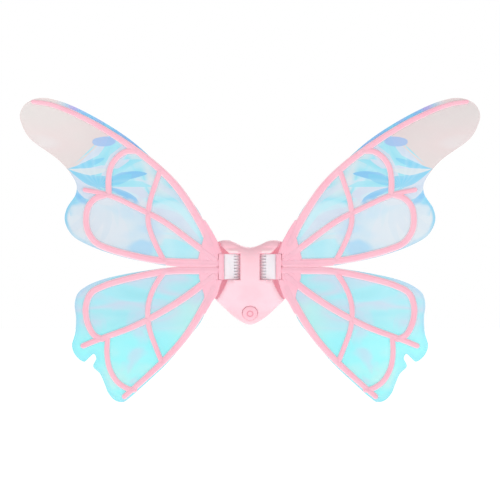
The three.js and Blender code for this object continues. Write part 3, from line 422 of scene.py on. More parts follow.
class Film:
    """The shader pieces that both film materials share. The tone is built up by laying one shade over
    another."""

    def __init__(self, name):
        self.material, self.n, self.shader, self.place = principled(name)
        where = self.n.split(self.place)
        self.across, self.up = self.n.math("ABSOLUTE", where[0]), where[2]
        self.flat = self.n.add("ShaderNodeCombineXYZ", {"X": self.across, "Z": self.up}).outputs[0]
        self.tone = None

    def fan(self, x, z, count, bend, shortest, longest, seed):
        inputs = {"Vector": self.place, "Centre X": x, "Centre Z": z, "Count": count, "Bend": bend,
                  "Shortest": shortest, "Longest": longest, "Seed": seed}
        return self.n.add("ShaderNodeGroup", inputs, node_tree=PETALS).outputs

    def oval(self, x, z, half_x, half_z, soft):
        """1 inside an oval about x, z, fading to 0 past its edge; slow noise moves the edge."""
        n = self.n
        a = n.math("DIVIDE", n.minus(self.across, x), half_x)
        b = n.math("DIVIDE", n.minus(self.up, z), half_z)
        size = n.plus(n.times(a, a), n.times(b, b))
        wobble = n.span(n.noise(self.flat, 55.0, 1.0), 0.3, 0.7, -0.22, 0.22, False)
        return n.span(n.plus(size, wobble), 1.0 - soft, 1.0 + soft, 1.0, 0.0)

    def streaks(self, turn, along_scale, across_scale):
        """Noise drawn out along one direction in the film's plane."""
        turned = self.n.add("ShaderNodeMapping", {"Vector": self.flat, "Rotation": (0, turn, 0),
                                                  "Scale": (along_scale, 1, across_scale)})
        return self.n.noise(turned.outputs[0], 1.0, 2.0, 0.5, 0.3)

    def mark(self, name):
        return self.n.add("ShaderNodeAttribute", attribute_name=name).outputs["Fac"]

    def lay(self, shade, *shares):
        """Lays a shade over the tone so far, as much as the product of the shares."""
        self.tone = self.n.mix(self.n.times(*shares), self.tone, shade)

    def finish(self):
        n, shader = self.n, self.shader
        tone = n.mix(1.0, self.tone, WARMTH, "MULTIPLY")
        bump(n, shader, n.times(n.noise(self.place, 30.0, 2.0, 0.5, 0.4), 0.0008), 0.5)
        # Painted light: a faint emission in the film's own tone stands in for light that comes through the
        # film.
        n.fill(shader, {"Base Color": tone, "Roughness": 0.16, "IOR": 1.45, "Alpha": 0.7,
                        "Thin Film Thickness": 380, "Thin Film IOR": 1.4, "Coat Weight": 0.35,
                        "Coat Roughness": 0.08, "Emission Color": tone, "Emission Strength": 0.1})
        return self.material


def upper_film_material():
    """Clear film: a milky tip, then fans of long sharp petals in sky blue, cyan and lilac on a pearly
    ground, a pale lower panel, and a painted sheen in violet and blue on the edges, where they catch the
    light."""
    film = Film("upper wing film")
    n = film.n
    film.tone = n.steps(n.noise(film.flat, 11.0, 2.0, 0.5, 0.8),
                        [(0.32, PEARL), (0.44, CYAN), (0.52, colour(196, 226, 244)), (0.62, LILAC),
                         (0.72, CYAN)])
    film.lay(CYAN, n.span(film.up, 0.010, 0.055, 0.75, 0.0))
    root = film.fan(0.050, 0.002, 46.0, 0.6, 0.10, 0.16, 5.0)
    inner = film.fan(0.196, 0.104, 17.0, -1.1, 0.05, 0.115, 2.0)
    outer = film.fan(0.238, 0.128, 19.0, 0.9, 0.05, 0.105, 9.0)
    for fan, share, stops in (
            (root, 0.55, [(0.0, PEARL), (0.4, colour(176, 230, 247)), (0.7, LILAC)]),
            (inner, 0.9, [(0.0, SKY), (0.3, PEARL), (0.45, CYAN), (0.62, BLUE), (0.8, LILAC)]),
            (outer, 0.92, [(0.0, SKY), (0.28, CYAN), (0.46, PEARL), (0.60, BLUE), (0.82, LILAC)])):
        film.lay(n.steps(fan["Tone"], stops, "CONSTANT"), fan["Inside"], share)
    film.lay(colour(226, 240, 250), n.plus(n.times(inner["Vein"], 0.12), n.times(outer["Vein"], 0.10)))
    haze = n.steps(film.streaks(0.7, 9.0, 24.0),
                   [(0.35, colour(218, 221, 236)), (0.55, colour(213, 222, 238)),
                    (0.72, colour(190, 216, 242))])
    film.lay(haze, film.oval(0.182, 0.046, 0.068, 0.044, 0.25), 0.88)
    film.lay(colour(150, 206, 244), film.oval(0.142, 0.024, 0.018, 0.011, 0.5), 0.7)
    # The milky tip lies beyond a slanting line that the outer fan's petals make ragged.
    beyond = n.plus(n.times(n.minus(film.across, 0.233), 0.69), n.times(n.minus(film.up, 0.128), 0.72))
    tip = n.span(n.plus(beyond, n.times(n.minus(outer["Tone"], 0.5), 0.009)), 0.0, 0.0012)
    milk = n.steps(film.streaks(-0.6, 7.0, 18.0), [(0.35, MILK), (0.6, ROSE), (0.75, colour(222, 218, 228))])
    film.lay(milk, tip)
    film.lay(colour(152, 186, 238), film.oval(0.190, 0.163, 0.015, 0.0065, 0.1), 0.9)
    # Painted sheen: violet, blue and sky along the leading edge, and sky blue along the lobes' trailing
    # edge.
    leading, trailing = film.mark("from_leading"), film.mark("from_trailing")
    edge_sheen = n.steps(n.noise(film.flat, 40.0, 1.0), [(0.35, VIOLET), (0.5, BLUE), (0.65, SKY)])
    film.lay(edge_sheen, n.span(leading, 3.5, 6.0, 1.0, 0.0), n.span(film.across, 0.258, 0.225),
             n.span(film.across, 0.08, 0.12))
    film.lay(colour(124, 200, 238), n.span(trailing, 1.5, 5.5, 0.9, 0.0), n.span(film.up, 0.092, 0.078),
             n.span(film.up, 0.040, 0.060, 0.35, 1.0))
    film.lay(colour(226, 206, 214), n.span(trailing, 0.3, 1.6, 0.55, 0.0), tip)
    return film.finish()


def lower_film_material():
    """Clear film in cyan that turns to aqua at its foot, with soft slanting streaks of lilac."""
    film = Film("lower wing film")
    n = film.n
    film.tone = n.steps(film.streaks(-0.75, 9.0, 26.0),
                        [(0.30, colour(142, 220, 240)), (0.45, colour(160, 226, 242)),
                         (0.56, colour(192, 214, 238)), (0.66, colour(160, 226, 244)),
                         (0.78, colour(150, 222, 240))])
    aqua = n.steps(film.streaks(0.9, 8.0, 22.0), [(0.3, colour(140, 236, 250)), (0.55, AQUA),
                                                  (0.7, colour(178, 236, 242))])
    film.lay(aqua, n.span(film.up, -0.062, -0.105), 0.85)
    film.lay(colour(176, 238, 236), n.span(film.across, 0.118, 0.075), n.span(film.up, -0.03, -0.055), 0.5)
    film.lay(colour(196, 210, 238), n.span(n.noise(film.flat, 24.0, 2.0, 0.5, 0.5), 0.56, 0.70, 0.0, 0.6))
    film.lay(colour(136, 226, 246), n.span(film.mark("from_trailing"), 2.0, 9.0, 0.6, 0.0))
    film.lay(colour(160, 206, 240), n.span(film.mark("from_leading"), 1.0, 6.0, 0.5, 0.0))
    return film.finish()


def casing_shade_and_highlight(n, place, shade):
    """Painted shade: the pink is a little deeper up the column, towards the notch and towards the heart's
    tip. Painted highlight: a pale band over each window.
    """
    x, _, up = n.split(place)
    across = n.math("ABSOLUTE", x)
    # Painted shade: each band of height mixes in a deeper pink.
    for low, high, share, deeper in ((-0.026, 0.006, 0.5, (250, 196, 206)),
                                     (0.008, 0.030, 0.7, (250, 194, 206)),
                                     (-0.048, -0.066, 0.8, (242, 192, 202))):
        shade = n.mix(n.span(up, low, high, 0.0, share), shade, colour(*deeper))
    # Painted highlight: a pale band over each window.
    brow_highlight = n.times(n.span(up, 0.0170, 0.0186), n.span(up, 0.0228, 0.0206),
                   n.span(across, 0.0135, 0.0175), 0.85)
    return n.mix(brow_highlight, shade, colour(254, 222, 226))


def rib_edge_highlight(n, place, shade):
    """Painted highlight: a rib's thin low flange, along its edges, is painted paler than the core that
    stands on it.
    """
    return n.mix(n.span(n.split(place)[1], -0.0399, -0.0391, 0.0, 0.75), shade, colour(254, 214, 222))


def button_groove_shade(n, place, shade):
    """Painted shade: the moulded ring's grooves are painted a deeper pink. The distance from the button's
    axis picks them.
    """
    x, y, z = n.split(place)
    up = n.minus(n.times(n.minus(z, button_face[2] * MM), math.cos(button_tilt)),
                 n.times(n.minus(y, button_face[1] * MM), math.sin(button_tilt)))
    r = n.math("SQRT", n.plus(n.times(x, x), n.times(up, up)))
    # Painted shade in the ring's grooves, picked by radius.
    ring = n.times(n.span(r, 0.0026, 0.0031), n.span(r, 0.0048, 0.0043), 0.9)
    return n.mix(ring, shade, colour(228, 150, 167))


def board_marks(n, place, shade):
    """Copper tracks under the solder mask, from a brick pattern."""
    tracks = n.add("ShaderNodeTexBrick", {"Vector": place, "Scale": 260.0, "Mortar Size": 0.05})
    line = n.minus(1.0, tracks.outputs["Fac"])
    return n.mix(n.times(line, 0.25), colour(96, 150, 70), shade)


def wrap_marks(n, place, shade):
    """A copper-coloured band near one end of each cell's wrap."""
    x = n.split(place)[0]
    band = n.times(n.span(x, 0.010, 0.0102), n.span(x, 0.0212, 0.0214, 1.0, 0.0))
    return n.mix(band, shade, colour(196, 142, 84))


casing_pink = moulded("casing pink", (253, 211, 221), (250, 203, 214), 0.40, casing_shade_and_highlight)
frame_pink = moulded("frame pink", (250, 190, 205), (247, 182, 199), 0.42, rib_edge_highlight)
lip_pink = moulded("socket pink", (253, 193, 207), (250, 186, 201), 0.42)
button_pink = moulded("button pink", (247, 191, 203), (243, 183, 196), 0.38, button_groove_shade)
# Painted light: the casing's inner side and the chassis take a deeper pink and a faint painted glow, which
# stand in for light that comes through the thin pink walls.
inner_pink_glow = moulded("inner pink glow", (250, 190, 202), (246, 180, 194), 0.5, glow=0.2)
arm_white = moulded("arm white", (240, 237, 241), (234, 230, 235), 0.36)
gear_white = moulded("gear ivory", (232, 228, 218), (222, 217, 205), 0.5)
switch_black = moulded("switch black", (44, 44, 47), (34, 34, 36), 0.5)
board_green = moulded("board green", (40, 118, 72), (30, 98, 60), 0.35, board_marks)
cell_wrap = moulded("cell wrap", (56, 62, 74), (48, 53, 64), 0.3, wrap_marks)
steel = metal("bright steel", (203, 206, 210), 0.28)
brass = metal("brass", (206, 172, 96), 0.32)
upper_film = upper_film_material()
lower_film = lower_film_material()


# ---------- The camera and the light ----------
def camera_in_front():
    """Level with the middle of the wings, far enough for them to fill nine tenths of the width."""
    middle = (cad_low + cad_high) / 2
    camera = bpy.data.cameras.new("camera")
    camera.lens, camera.sensor_width = 100, 36
    seen = bpy.data.objects.new("camera", camera)
    width = (cad_high.x - cad_low.x) * 1.0846
    wings_y = cad_low.y + 0.006
    seen.location = (middle.x, wings_y - width * camera.lens / camera.sensor_width, middle.z)
    seen.rotation_euler = (math.pi / 2, 0, 0)
    camera.clip_start, camera.clip_end = 0.01, 50
    bpy.context.scene.collection.objects.link(seen)
    bpy.context.scene.camera = seen


def soft_light(name, place, size, power):
    """A round lamp that faces the wings. Its place and size are in metres, its power in watts."""
    lamp = bpy.data.lights.new(name, "AREA")
    lamp.shape, lamp.size, lamp.energy = "DISK", size, power
    stand = bpy.data.objects.new(name, lamp)
    stand.location = place
    aim = Vector((0, -0.03, 0.02)) - Vector(place)
    stand.rotation_euler = aim.to_track_quat("-Z", "Y").to_euler()
    bpy.context.scene.collection.objects.link(stand)


def studio():
    """A pale floor well below the wings, an even white sky and soft lamps. The sky lights the wings a
    little less brightly than it looks."""
    world = bpy.data.worlds.new("studio")
    bpy.context.scene.world = world
    world.use_nodes = True
    n, white = Nodes(world.node_tree), (1, 1, 1, 1)
    lit = world.node_tree.nodes["Background"]
    n.fill(lit, {"Color": white, "Strength": 0.67})
    seen = n.add("ShaderNodeBackground", {"Color": white, "Strength": 1.0})
    direct = n.add("ShaderNodeLightPath").outputs["Is Camera Ray"]
    both = n.add("ShaderNodeMixShader", {0: direct, 1: lit.outputs[0], 2: seen.outputs[0]})
    n.fill(world.node_tree.nodes["World Output"], {"Surface": both.outputs[0]})
    half_floor, drop = 6, 0.25
    x, y = np.meshgrid(*[np.linspace(-half_floor, half_floor, 3)] * 2)
    points = np.stack([x, y, np.full(x.shape, cad_low.z - drop)], -1).reshape(-1, 3)
    ground = bpy.data.meshes.new("pale floor")
    ground.from_pydata(points.tolist(), [], grid_faces(3, 3).tolist())
    floor = bpy.data.objects.new("pale_floor", ground)
    bpy.context.scene.collection.objects.link(floor)
    material, n, shader, place = principled("pale floor")
    tint = n.noise(place, 3.0)
    n.fill(shader, {"Base Color": n.mix(tint, colour(254, 254, 254), colour(250, 250, 251)),
                    "Emission Color": n.mix(tint, white, (0.99, 0.99, 0.995, 1)),
                    "Emission Strength": 0.45, "Roughness": 0.9})
    ground.materials.append(material)
    soft_light("key lamp", (-0.7, -1.7, 0.55), 0.8, 3.6)
    soft_light("fill lamp", (0.7, -1.7, -0.05), 0.9, 2.6)
    soft_light("top lamp", (0.0, -0.3, 1.5), 0.6, 1.2)
    soft_light("back lamp", (0.3, 1.7, 0.6), 0.9, 3.4)
    bpy.context.scene.view_settings.view_transform = "Standard"


camera_in_front()
studio()


# ---------- The heart ----------
heart_half = [
    (0, 0.72), (0.22, 0.81), (0.41, 0.955), (0.56, 1), (0.77, 0.93), (0.92, 0.7), (0.99, 0.3), (1, -0.1),
    (0.96, -0.34), (0.835, -0.544), (0.625, -0.7), (0.415, -0.842), (0.22, -0.941), (0, -1),
]


def heart_outline():
    """The closed outline of the casing, smooth through the shares of its half width and heights."""
    right = np.array([(u * heart_half_width, v * (heart_top if v > 0 else heart_bottom))
                      for u, v in heart_half])
    left = (right * (-1, 1))[1:-1][::-1]
    return smooth_line(np.vstack([right, left]), 14, True)


def heart_angle(x, z):
    return np.arctan2(z - heart_centre_z, x)


OUTLINE = heart_outline()
outline_angle = heart_angle(*OUTLINE.T)
outline_reach = np.hypot(OUTLINE[:, 0], OUTLINE[:, 1] - heart_centre_z)


def heart_share(x, z):
    """The share of the way from the heart's centre to its outline, in the direction of the point."""
    reach = np.interp(heart_angle(x, z), outline_angle, outline_reach, period=2 * math.pi)
    return np.hypot(x, z - heart_centre_z) / reach


def dome_height(x, z):
    """How far the dome stands forward: rise times (1 - s^p)^(1/p), where s is the heart's share."""
    s = np.clip(heart_share(x, z), 0, 1)
    return dome_rise * (1 - s**dome_power) ** (1 / dome_power)


root_above = np.array([(36, window_half_height - 0.3), (39.7, 25.4), (42.6, 34), (49, 46)])
root_below = np.array([(36, -window_half_height), (39.6, -28), (43.4, -38.2), (49.4, -44.8)])
gaps_above, gaps_below = np.array([9.2, 2.6, 1.8, 1.8]), np.array([7, 5.6, 3.4, 2.4])


def cover_edge(count):
    """The right-hand edge of the front cover: over the lobe from the notch, in along the window's top,
    down the column, out along the window's foot and down to the heart's tip. With it comes 1 where the
    edge is a window's, and 0 where it is the heart's outline."""
    above = np.stack([root_above[:, 0] - gaps_above, root_above[:, 1] + 0.3], 1)
    below = np.stack([root_below[:, 0] - gaps_below, root_below[:, 1] - 0.3], 1)
    right = OUTLINE[OUTLINE[:, 0] >= -1e-9]
    right = right[np.argsort(-np.unwrap(heart_angle(*right.T)))]

    def crossing(line):
        """A polyline as far as it lies within the heart's outline."""
        fine = along(line, 400)
        inside = heart_share(*fine.T) < 1
        return fine[: np.argmin(inside)] if not inside.all() else fine

    top, foot = crossing(above), crossing(below)
    lobe = right[heart_angle(*right.T) > heart_angle(*top[-1])]
    chin = right[heart_angle(*right.T) < heart_angle(*foot[-1])]
    corners = [(window_inner_x, window_half_height), (window_inner_x, -window_half_height)]
    whole = np.vstack([lobe, top[::-1], corners, foot, chin])
    free = np.concatenate([np.zeros(len(lobe)), np.ones(len(top) + 2 + len(foot)), np.zeros(len(chin))])
    length = travelled(whole)
    return along(whole, count), np.interp(np.linspace(0, 1, count) * length[-1], length, free)


def beside(x, z, part):
    """The distance from each point of a mirrored grid to a right-hand polyline."""
    return nearest(np.stack([np.abs(x), z], -1).reshape(-1, 2), part).reshape(x.shape)


def front_cover():
    """The dome as rows that run from the centre line out to the cover's edge. A row's points crowd
    towards the edge as cos(a)^(2/p), where the dome drops fastest. Within a fillet of a window's edge the
    surface rolls in on a quarter circle, and a bead with a Gaussian section runs above each window."""
    rows, half_columns = 420, 34
    edge, free = cover_edge(rows)
    step = travelled(edge)
    top_corner, foot_corner = (step[np.argmin(np.hypot(edge[:, 0] - window_inner_x, edge[:, 1] - height))]
                               for height in (window_half_height, -window_half_height))
    # Where a row starts on the centre line, for the length of the edge up to its other end.
    notch = heart_top * 0.72
    stations = [0, 6, 13, 19, top_corner, foot_corner, step[-1]]
    heights = [notch, notch - 1.2, notch - 4.6, notch - 7, window_half_height, -window_half_height,
               -heart_bottom]
    centre_z = np.interp(step, stations, heights)
    angle = np.linspace(math.pi / 2, 0, half_columns)
    share = np.cos(angle) ** (2 / dome_power)
    share[0] = 0.0
    share = np.concatenate([-share[:0:-1], share])
    x = edge[:, :1] * share[None, :]
    z = centre_z[:, None] + (edge[:, 1] - centre_z)[:, None] * np.abs(share)[None, :]
    forward = dome_height(x, z)
    rim = edge[free > 0.5]
    ax = np.abs(x)
    beside_window = np.abs(rim[:, 1]) < window_half_height + 0.2
    roll = np.zeros(x.shape)
    window_fillet, shoulder_fillet = 2.2, 5.5
    for fillet, part in ((window_fillet, rim[beside_window]),
                         (shoulder_fillet, rim[~beside_window & (rim[:, 1] > 0)]),
                         (shoulder_fillet, rim[~beside_window & (rim[:, 1] < 0)])):
        d = np.clip(beside(x, z, part), 0, fillet)
        roll = np.maximum(roll, fillet - np.sqrt(fillet**2 - (fillet - d) ** 2))
    span = ramp(ax, 12.5, 17) * (1 - ramp(ax, 26, 34))
    bead = (1.7 * np.exp(-(((z - 20.0) / 1.8) ** 2)) - 1.3 * np.exp(-(((z - 24.4) / 2.0) ** 2))) * span
    waist = 0.5 * np.exp(-((ax / 8.5) ** 4)) * ramp(z, -19, -14) * (1 - ramp(z, 14, 19))
    y = cover_back - np.minimum(forward + bead + waist, dome_rise) + roll
    y = np.minimum(y, cover_back)
    # The button's seat: within its radius the dome falls into a shallow dish with a soft edge.
    hole_radius, seat_radius, seat_depth, seat_reach = 10.5, 13.0, 0.45, 12
    grid = np.stack([x, y, z], -1)
    across, inward, up = button_space(grid)
    radial = np.hypot(across, up)
    dish = ramp(radial, seat_radius, hole_radius + 0.3) * seat_depth
    grid[..., 1] += np.where(inward < seat_reach, dish, 0)
    # Faces over the button's hole are dropped, and the points round it slide out to its rim.
    hole = (radial < hole_radius) & (inward < seat_reach)
    faces = grid_faces(*hole.shape)
    gone = hole.reshape(-1)
    touching = np.zeros(gone.shape, bool)
    some = gone[faces].any(1) & ~gone[faces].all(1)
    touching[np.unique(faces[some])] = True
    touching &= ~gone
    touching = touching.reshape(hole.shape)
    scale = np.where(touching, hole_radius / np.maximum(radial, 1e-6), 1.0)
    grid = button_place(across * scale, inward, up * scale)
    faces = faces[~gone[faces].any(1)]
    # The wall grows along the smooth dome's own normal, and straight back beside the windows.
    x, z, nudge = grid[..., 0], grid[..., 2], 0.2
    slope_x = (dome_height(x + nudge, z) - dome_height(x - nudge, z)) / (2 * nudge)
    slope_z = (dome_height(x, z + nudge) - dome_height(x, z - nudge)) / (2 * nudge)
    steep = np.sqrt(1 + slope_x**2 + slope_z**2)
    clear = ramp(beside(x, z, rim), 1, 6)
    shift = cover_wall * np.stack([clear * slope_x / steep, 1 - clear + clear / steep,
                                   clear * slope_z / steep], -1)
    shift[..., 1] = np.minimum(shift[..., 1], cover_back - grid[..., 1])
    # Behind the button's hole the wall is turned back to a flat land, clear of the button's flange.
    land_radius, land_depth, thinnest = 12.6, 3.3, 0.25
    _, outer_inward, _ = button_space(grid)
    across, inward, up = button_space(grid + shift)
    radial = np.hypot(across, up)
    land = (radial < land_radius) & (outer_inward < seat_reach)
    inward = np.where(land, np.minimum(inward, np.maximum(outer_inward + thinnest, land_depth)), inward)
    wider = np.where(land, np.maximum(hole_radius / np.maximum(radial, 1e-6), 1.0), 1.0)
    shift = button_place(across * wider, inward, up * wider) - grid
    points, faces, copied = backed(grid.reshape(-1, 3), faces, shift.reshape(-1, 3))
    mesh_piece("front_cover_shell", points, faces, casing_pink, "casing", ["front_cover"],
               50, lining=(inner_pink_glow, copied))


def button_space(points):
    """Points as (across, inward, up) from the middle of the button's face, along its own axes."""
    offset = points - np.array(button_face)
    c, s = math.cos(button_tilt), math.sin(button_tilt)
    return offset[..., 0], offset[..., 1] * c + offset[..., 2] * s, offset[..., 2] * c - offset[..., 1] * s


def button_place(across, inward, up):
    c, s = math.cos(button_tilt), math.sin(button_tilt)
    return np.stack([across + button_face[0], inward * c - up * s + button_face[1],
                     inward * s + up * c + button_face[2]], -1)


def power_button():
    """A turned cap: a profile of radius and depth carried round the button's axis, with a raised ring."""
    profile = smooth_line([(0, -0.85), (2.6, -0.84), (3.0, -0.8)], 6)
    ring = smooth_line([(3.0, -0.8), (3.15, -1.08), (3.6, -1.16), (4.1, -1.08), (4.35, -0.74)], 5)
    crown = smooth_line([(4.35, -0.74), (6.2, -0.5), (8.2, -0.05), (9.3, 0.5), (9.72, 1.2), (9.8, 2.0)], 6)
    skirt = np.array([(9.8, 3.7), (11.1, 3.7), (11.1, 4.9), (8.2, 4.9), (8.2, 2.4), (2.6, 2.4)])
    stem = np.array([(2.6, 5.95), (0, 5.95)])
    section = np.vstack([profile, ring[1:], crown[1:], skirt, stem])
    turn = np.linspace(0, 2 * math.pi, 96, endpoint=False)[None, :]
    r, depth = section[:, :1], section[:, 1:]
    grid = button_place(r * np.cos(turn), depth + 0 * turn, r * np.sin(turn))
    points, faces = join_grids([(grid, (False, True))])
    mesh_piece("power_button_cap", points, faces, button_pink, "button", ["power_button"], 50)


# ---------- Wings ----------
def wing_point(points):
    """A wing point from its share, in hundredths, of the reach beyond the lip and of the rise or drop."""
    p = np.array(points, float)
    rise = np.where(p[:, 1] > 0, upper_rise, lower_drop)
    return np.stack([lip_x + p[:, 0] * wing_reach / 100, p[:, 1] * rise / 100], 1)


# Each rib: its line, and its widths in millimetres at the line's two ends.
ribs = {"upper": {
    "leading": ([(4, 13.5), (8.8, 25.3), (20.3, 46.3), (31.2, 59.4), (49, 75), (66.6, 87.3), (84.2, 96),
                 (93.2, 97.7)], (11.3, 5.9)),
    "middle": ([(2, 4.5), (12.2, 13.5), (27.6, 26.8), (42.4, 35.7), (52, 40.9), (60, 43.9), (67.2, 45.5)],
               (9.2, 6.2)),
    "arch": ([(41.3, 68.6), (46.5, 68.2), (50.8, 65), (54, 59.6), (55.3, 52.1), (55.2, 42.7)], (7.6, 8)),
    "cross": ([(29.3, 57.3), (32, 48), (34.6, 38), (35.4, 26.9), (33.7, 19), (30.5, 10.5), (27.4, 3.6)],
              (7, 7.2)),
    "loop": ([(56.6, 42.6), (61.6, 40.6), (65.3, 36), (66.6, 29.5), (65.8, 21.5), (61.8, 14.4), (55, 10.6),
              (38.7, 5.5), (26.7, 3.3), (11.5, 2.6), (1, 2.3)], (8, 9.6)),
    "web": ([(1, 1.4), (12, 1.45), (20, 1.6), (25.5, 2.15)], (6.6, 7.0)),
}, "lower": {
    "loop": ([(1, -2.8), (12, -2.9), (26.6, -3.5), (44.7, -8.6), (57.5, -14.1), (64, -19.4), (66.7, -29),
              (66, -41), (62.5, -50.6), (58.5, -53.4)], (9.6, 8)),
    "web": ([(1, -1.75), (12, -1.8), (20, -1.95), (25.5, -2.6)], (6.6, 7.0)),
    "middle": ([(2.7, -6.8), (14.6, -20.3), (27.6, -32.6), (42.9, -44.2), (60.8, -54), (68.1, -58.4)],
               (10, 7.2)),
    "cross": ([(27.4, -3.8), (32.6, -16), (35.4, -29), (34.9, -45), (31.4, -60), (28.6, -70.3)],
              (7.2, 6.8)),
    "trailing": ([(2.6, -15.5), (6, -26), (16.1, -50.4), (25.5, -66.5), (36, -81.2), (47.3, -95.8)],
                 (11, 7)),
    "arch": ([(55.8, -52.4), (56.1, -64.8), (54.6, -76), (50.6, -85.4), (45, -90.4), (42.3, -90.8)],
             (7, 7.4)),
}}


def rib(points, widths, depth, back):
    """One rib, carried along a smooth line: a flat back, a flange whose edges are rounded as
    (1 - s^6)^(1/2), and on it a core that rises over the middle half. Past each end the section shrinks as
    a quarter circle, so that the end is round."""
    spacing, flange, ends = 1.6, 0.35, 6
    line = smooth_line(wing_point(points), 8)
    line = along(line, int(travelled(line)[-1] / spacing))
    width = widths[0] + (widths[1] - widths[0]) * np.linspace(0, 1, len(line))
    heading = np.gradient(line, axis=0)
    heading /= np.linalg.norm(heading, axis=1)[:, None]
    quarter = np.linspace(0, math.pi / 2, ends + 1)[1:]

    def end(place, towards, size):
        centre = place + towards * (np.sin(quarter) * size / 2)[:, None]
        return centre, np.cos(quarter) * size

    near, near_width = end(line[0], -heading[0], width[0])
    far, far_width = end(line[-1], heading[-1], width[-1])
    path = np.vstack([near[::-1], line, far])
    size = np.concatenate([near_width[::-1], width, far_width])
    facing, full = (np.repeat(values, [ends + 1] + [1] * (len(line) - 2) + [ends + 1], 0)
                    for values in (heading, width))
    side = np.stack([-facing[:, 1], facing[:, 0]], 1)
    s = np.sin(np.linspace(-math.pi / 2, math.pi / 2, 25))
    across = np.concatenate([s, [0.9, -0.9]])
    front = 0.62 * np.sqrt(np.maximum(1 - np.abs(s) ** 6, 0)) + 0.38 * ramp(1 - np.abs(s), 0.22, 0.52)
    forward = np.concatenate([front, [0, 0]])
    cap = np.minimum(1, (size / full) ** 0.5)
    x = path[:, :1] + side[:, :1] * across[None, :] * size[:, None] / 2
    z = path[:, 1:] + side[:, 1:] * across[None, :] * size[:, None] / 2
    y = back - flange - (depth - flange) * forward[None, :] * cap[:, None]
    y[:, -2:] = back
    return np.stack([x, y, z], -1)


def root_plate(inner, outer, socket_z, angles):
    """The plate where the ribs meet: rows between its inner and outer edges, its height steady over the
    middle and falling off close to its rim, with grooves that radiate from the socket. A closed mesh."""
    inner, outer = along(inner, 110), along(outer, 110)
    u = np.linspace(0, 1, 64)[None, :, None]
    grid = inner[:, None] * (1 - u) + outer[:, None] * u
    v = np.linspace(-1, 1, len(inner))[:, None]
    crown = (1 - np.abs(2 * u[..., 0] - 1) ** 10) * (1 - np.abs(v) ** 12)
    x, z = grid[..., 0], grid[..., 1]
    thinnest, plate_height, groove_size = 0.1, 2.25, 0.55
    groove = np.zeros(x.shape)
    for angle in np.radians(angles):
        dx, dz = x - lip_x, z - socket_z
        off = dx * math.sin(angle) - dz * math.cos(angle)
        ahead = dx * math.cos(angle) + dz * math.sin(angle)
        reach = ramp(ahead, 1, 4) * (1 - ramp(ahead, 15, 22))
        groove = np.maximum(groove, np.exp(-((off / groove_size) ** 2)) * reach)
    # The plate's back lies a little forward of the ribs' backs, so that no two flat faces fall together.
    back = frame_back - 0.22
    y = back - thinnest - plate_height * np.maximum(crown, 0) ** 0.35 + groove_size * groove
    y = np.minimum(y, back - thinnest)
    front, shift = np.stack([x, y, z], -1), np.stack([0 * x, back - y, 0 * x], -1)
    return backed(front.reshape(-1, 3), grid_faces(*x.shape), shift.reshape(-1, 3))[:2]


def mirrored(points, sign):
    return points * np.array([sign, 1, 1])


# Each plate: its inner and outer edges, the height of its socket, and the angles of its grooves.
plates = {
    "upper": ([(lip_x + 0.2, 0.2), (lip_x + 0.2, 16.8), (36.2, 16.8), (39.7, 25.4), (42.6, 34), (48.8, 45.2),
               (53.4, 53), (58.4, 60.6)],
              [(66, 0.3), (67.5, 12), (63.5, 27), (60.5, 38), (60, 50), (61.5, 61.5)],
              1.5, (14, 27, 42, 56, 68, 80)),
    "lower": ([(lip_x + 0.2, -0.2), (lip_x + 0.2, -17), (36.1, -17), (39.6, -28), (43.4, -38.2),
               (49.4, -45.6), (53.6, -53.2), (58.4, -61.6)],
              [(66, -0.3), (66.5, -14), (63, -27), (60, -36), (59.5, -50), (61.5, -62.5)],
              -1.5, (-12, -25, -40, -55, -68, -80)),
}


def wing_frame(side, sign, level):
    """A rib frame: its ribs run into each other and into the plate at its root."""
    grids = []
    for count, (line, widths) in enumerate(ribs[level].values()):
        # Each rib lies a hair further forward than the last, and its top a hair lower, so that no
        # two flat faces fall together.
        hair = 0.03 * count
        grids.append((rib(line, widths, rib_depth - 2 * hair, frame_back - hair), (False, True)))
    points, faces = join_grids(grids)
    plate, plate_faces = root_plate(*plates[level])
    points, faces = np.vstack([points, plate]), np.vstack([faces, plate_faces + len(points)])
    mesh_piece(f"{level}_ribs_{side}", mirrored(points, sign), faces, frame_pink, f"wing_{side}",
               [f"{level}_frame_{side}"], 70)


# Each film: its leading edge, its trailing edge, and the corners of its hidden root in millimetres.
films = {
    "upper": ([(6.5, 24), (10, 33), (19.6, 47), (31.1, 61.4), (45.7, 76.4), (66.8, 91.5), (80.8, 98.4)],
              [(89.8, 100), (97.2, 96.5), (100, 90), (98.6, 83), (95, 76), (80.3, 63), (74.4, 55),
               (71.5, 48.5), (71.9, 43), (76.4, 34.5), (77.4, 27.5), (74, 19), (66, 13), (49.7, 6.2),
               (27.4, 0.8)],
              [(57, 1.35), (56.5, 36)]),
    "lower": ([(27.4, -0.9), (46.7, -5.4), (59.2, -9.8), (66.5, -14.4), (71, -20), (72.4, -28), (71.7, -38)],
              [(72.2, -49), (73.8, -58.4), (72, -65.5), (67.7, -70.2), (65, -67), (62.8, -64.5),
               (61.6, -67.5), (63.1, -73.6), (59.7, -79), (57.2, -87.2), (55.4, -93.5),
               (52, -98.8), (48, -100), (44.9, -97),
               (36, -85.4), (26.2, -71.8), (16.3, -54.8), (7.6, -36.8), (6.4, -26)],
              [(56.5, -36), (57, -1.35)]),
}


def within(points, outline):
    """Whether each flat point lies in a closed outline: a ray from it crosses the outline an odd number
    of times."""
    start, end = outline[None], np.roll(outline, -1, 0)[None]
    x, z = points[:, :1], points[:, 1:]
    spans = (start[..., 1] > z) != (end[..., 1] > z)
    rise = np.where(spans, end[..., 1] - start[..., 1], 1.0)
    cross = start[..., 0] + (z - start[..., 1]) * (end[..., 0] - start[..., 0]) / rise
    return (spans & (cross > x)).sum(1) % 2 == 1


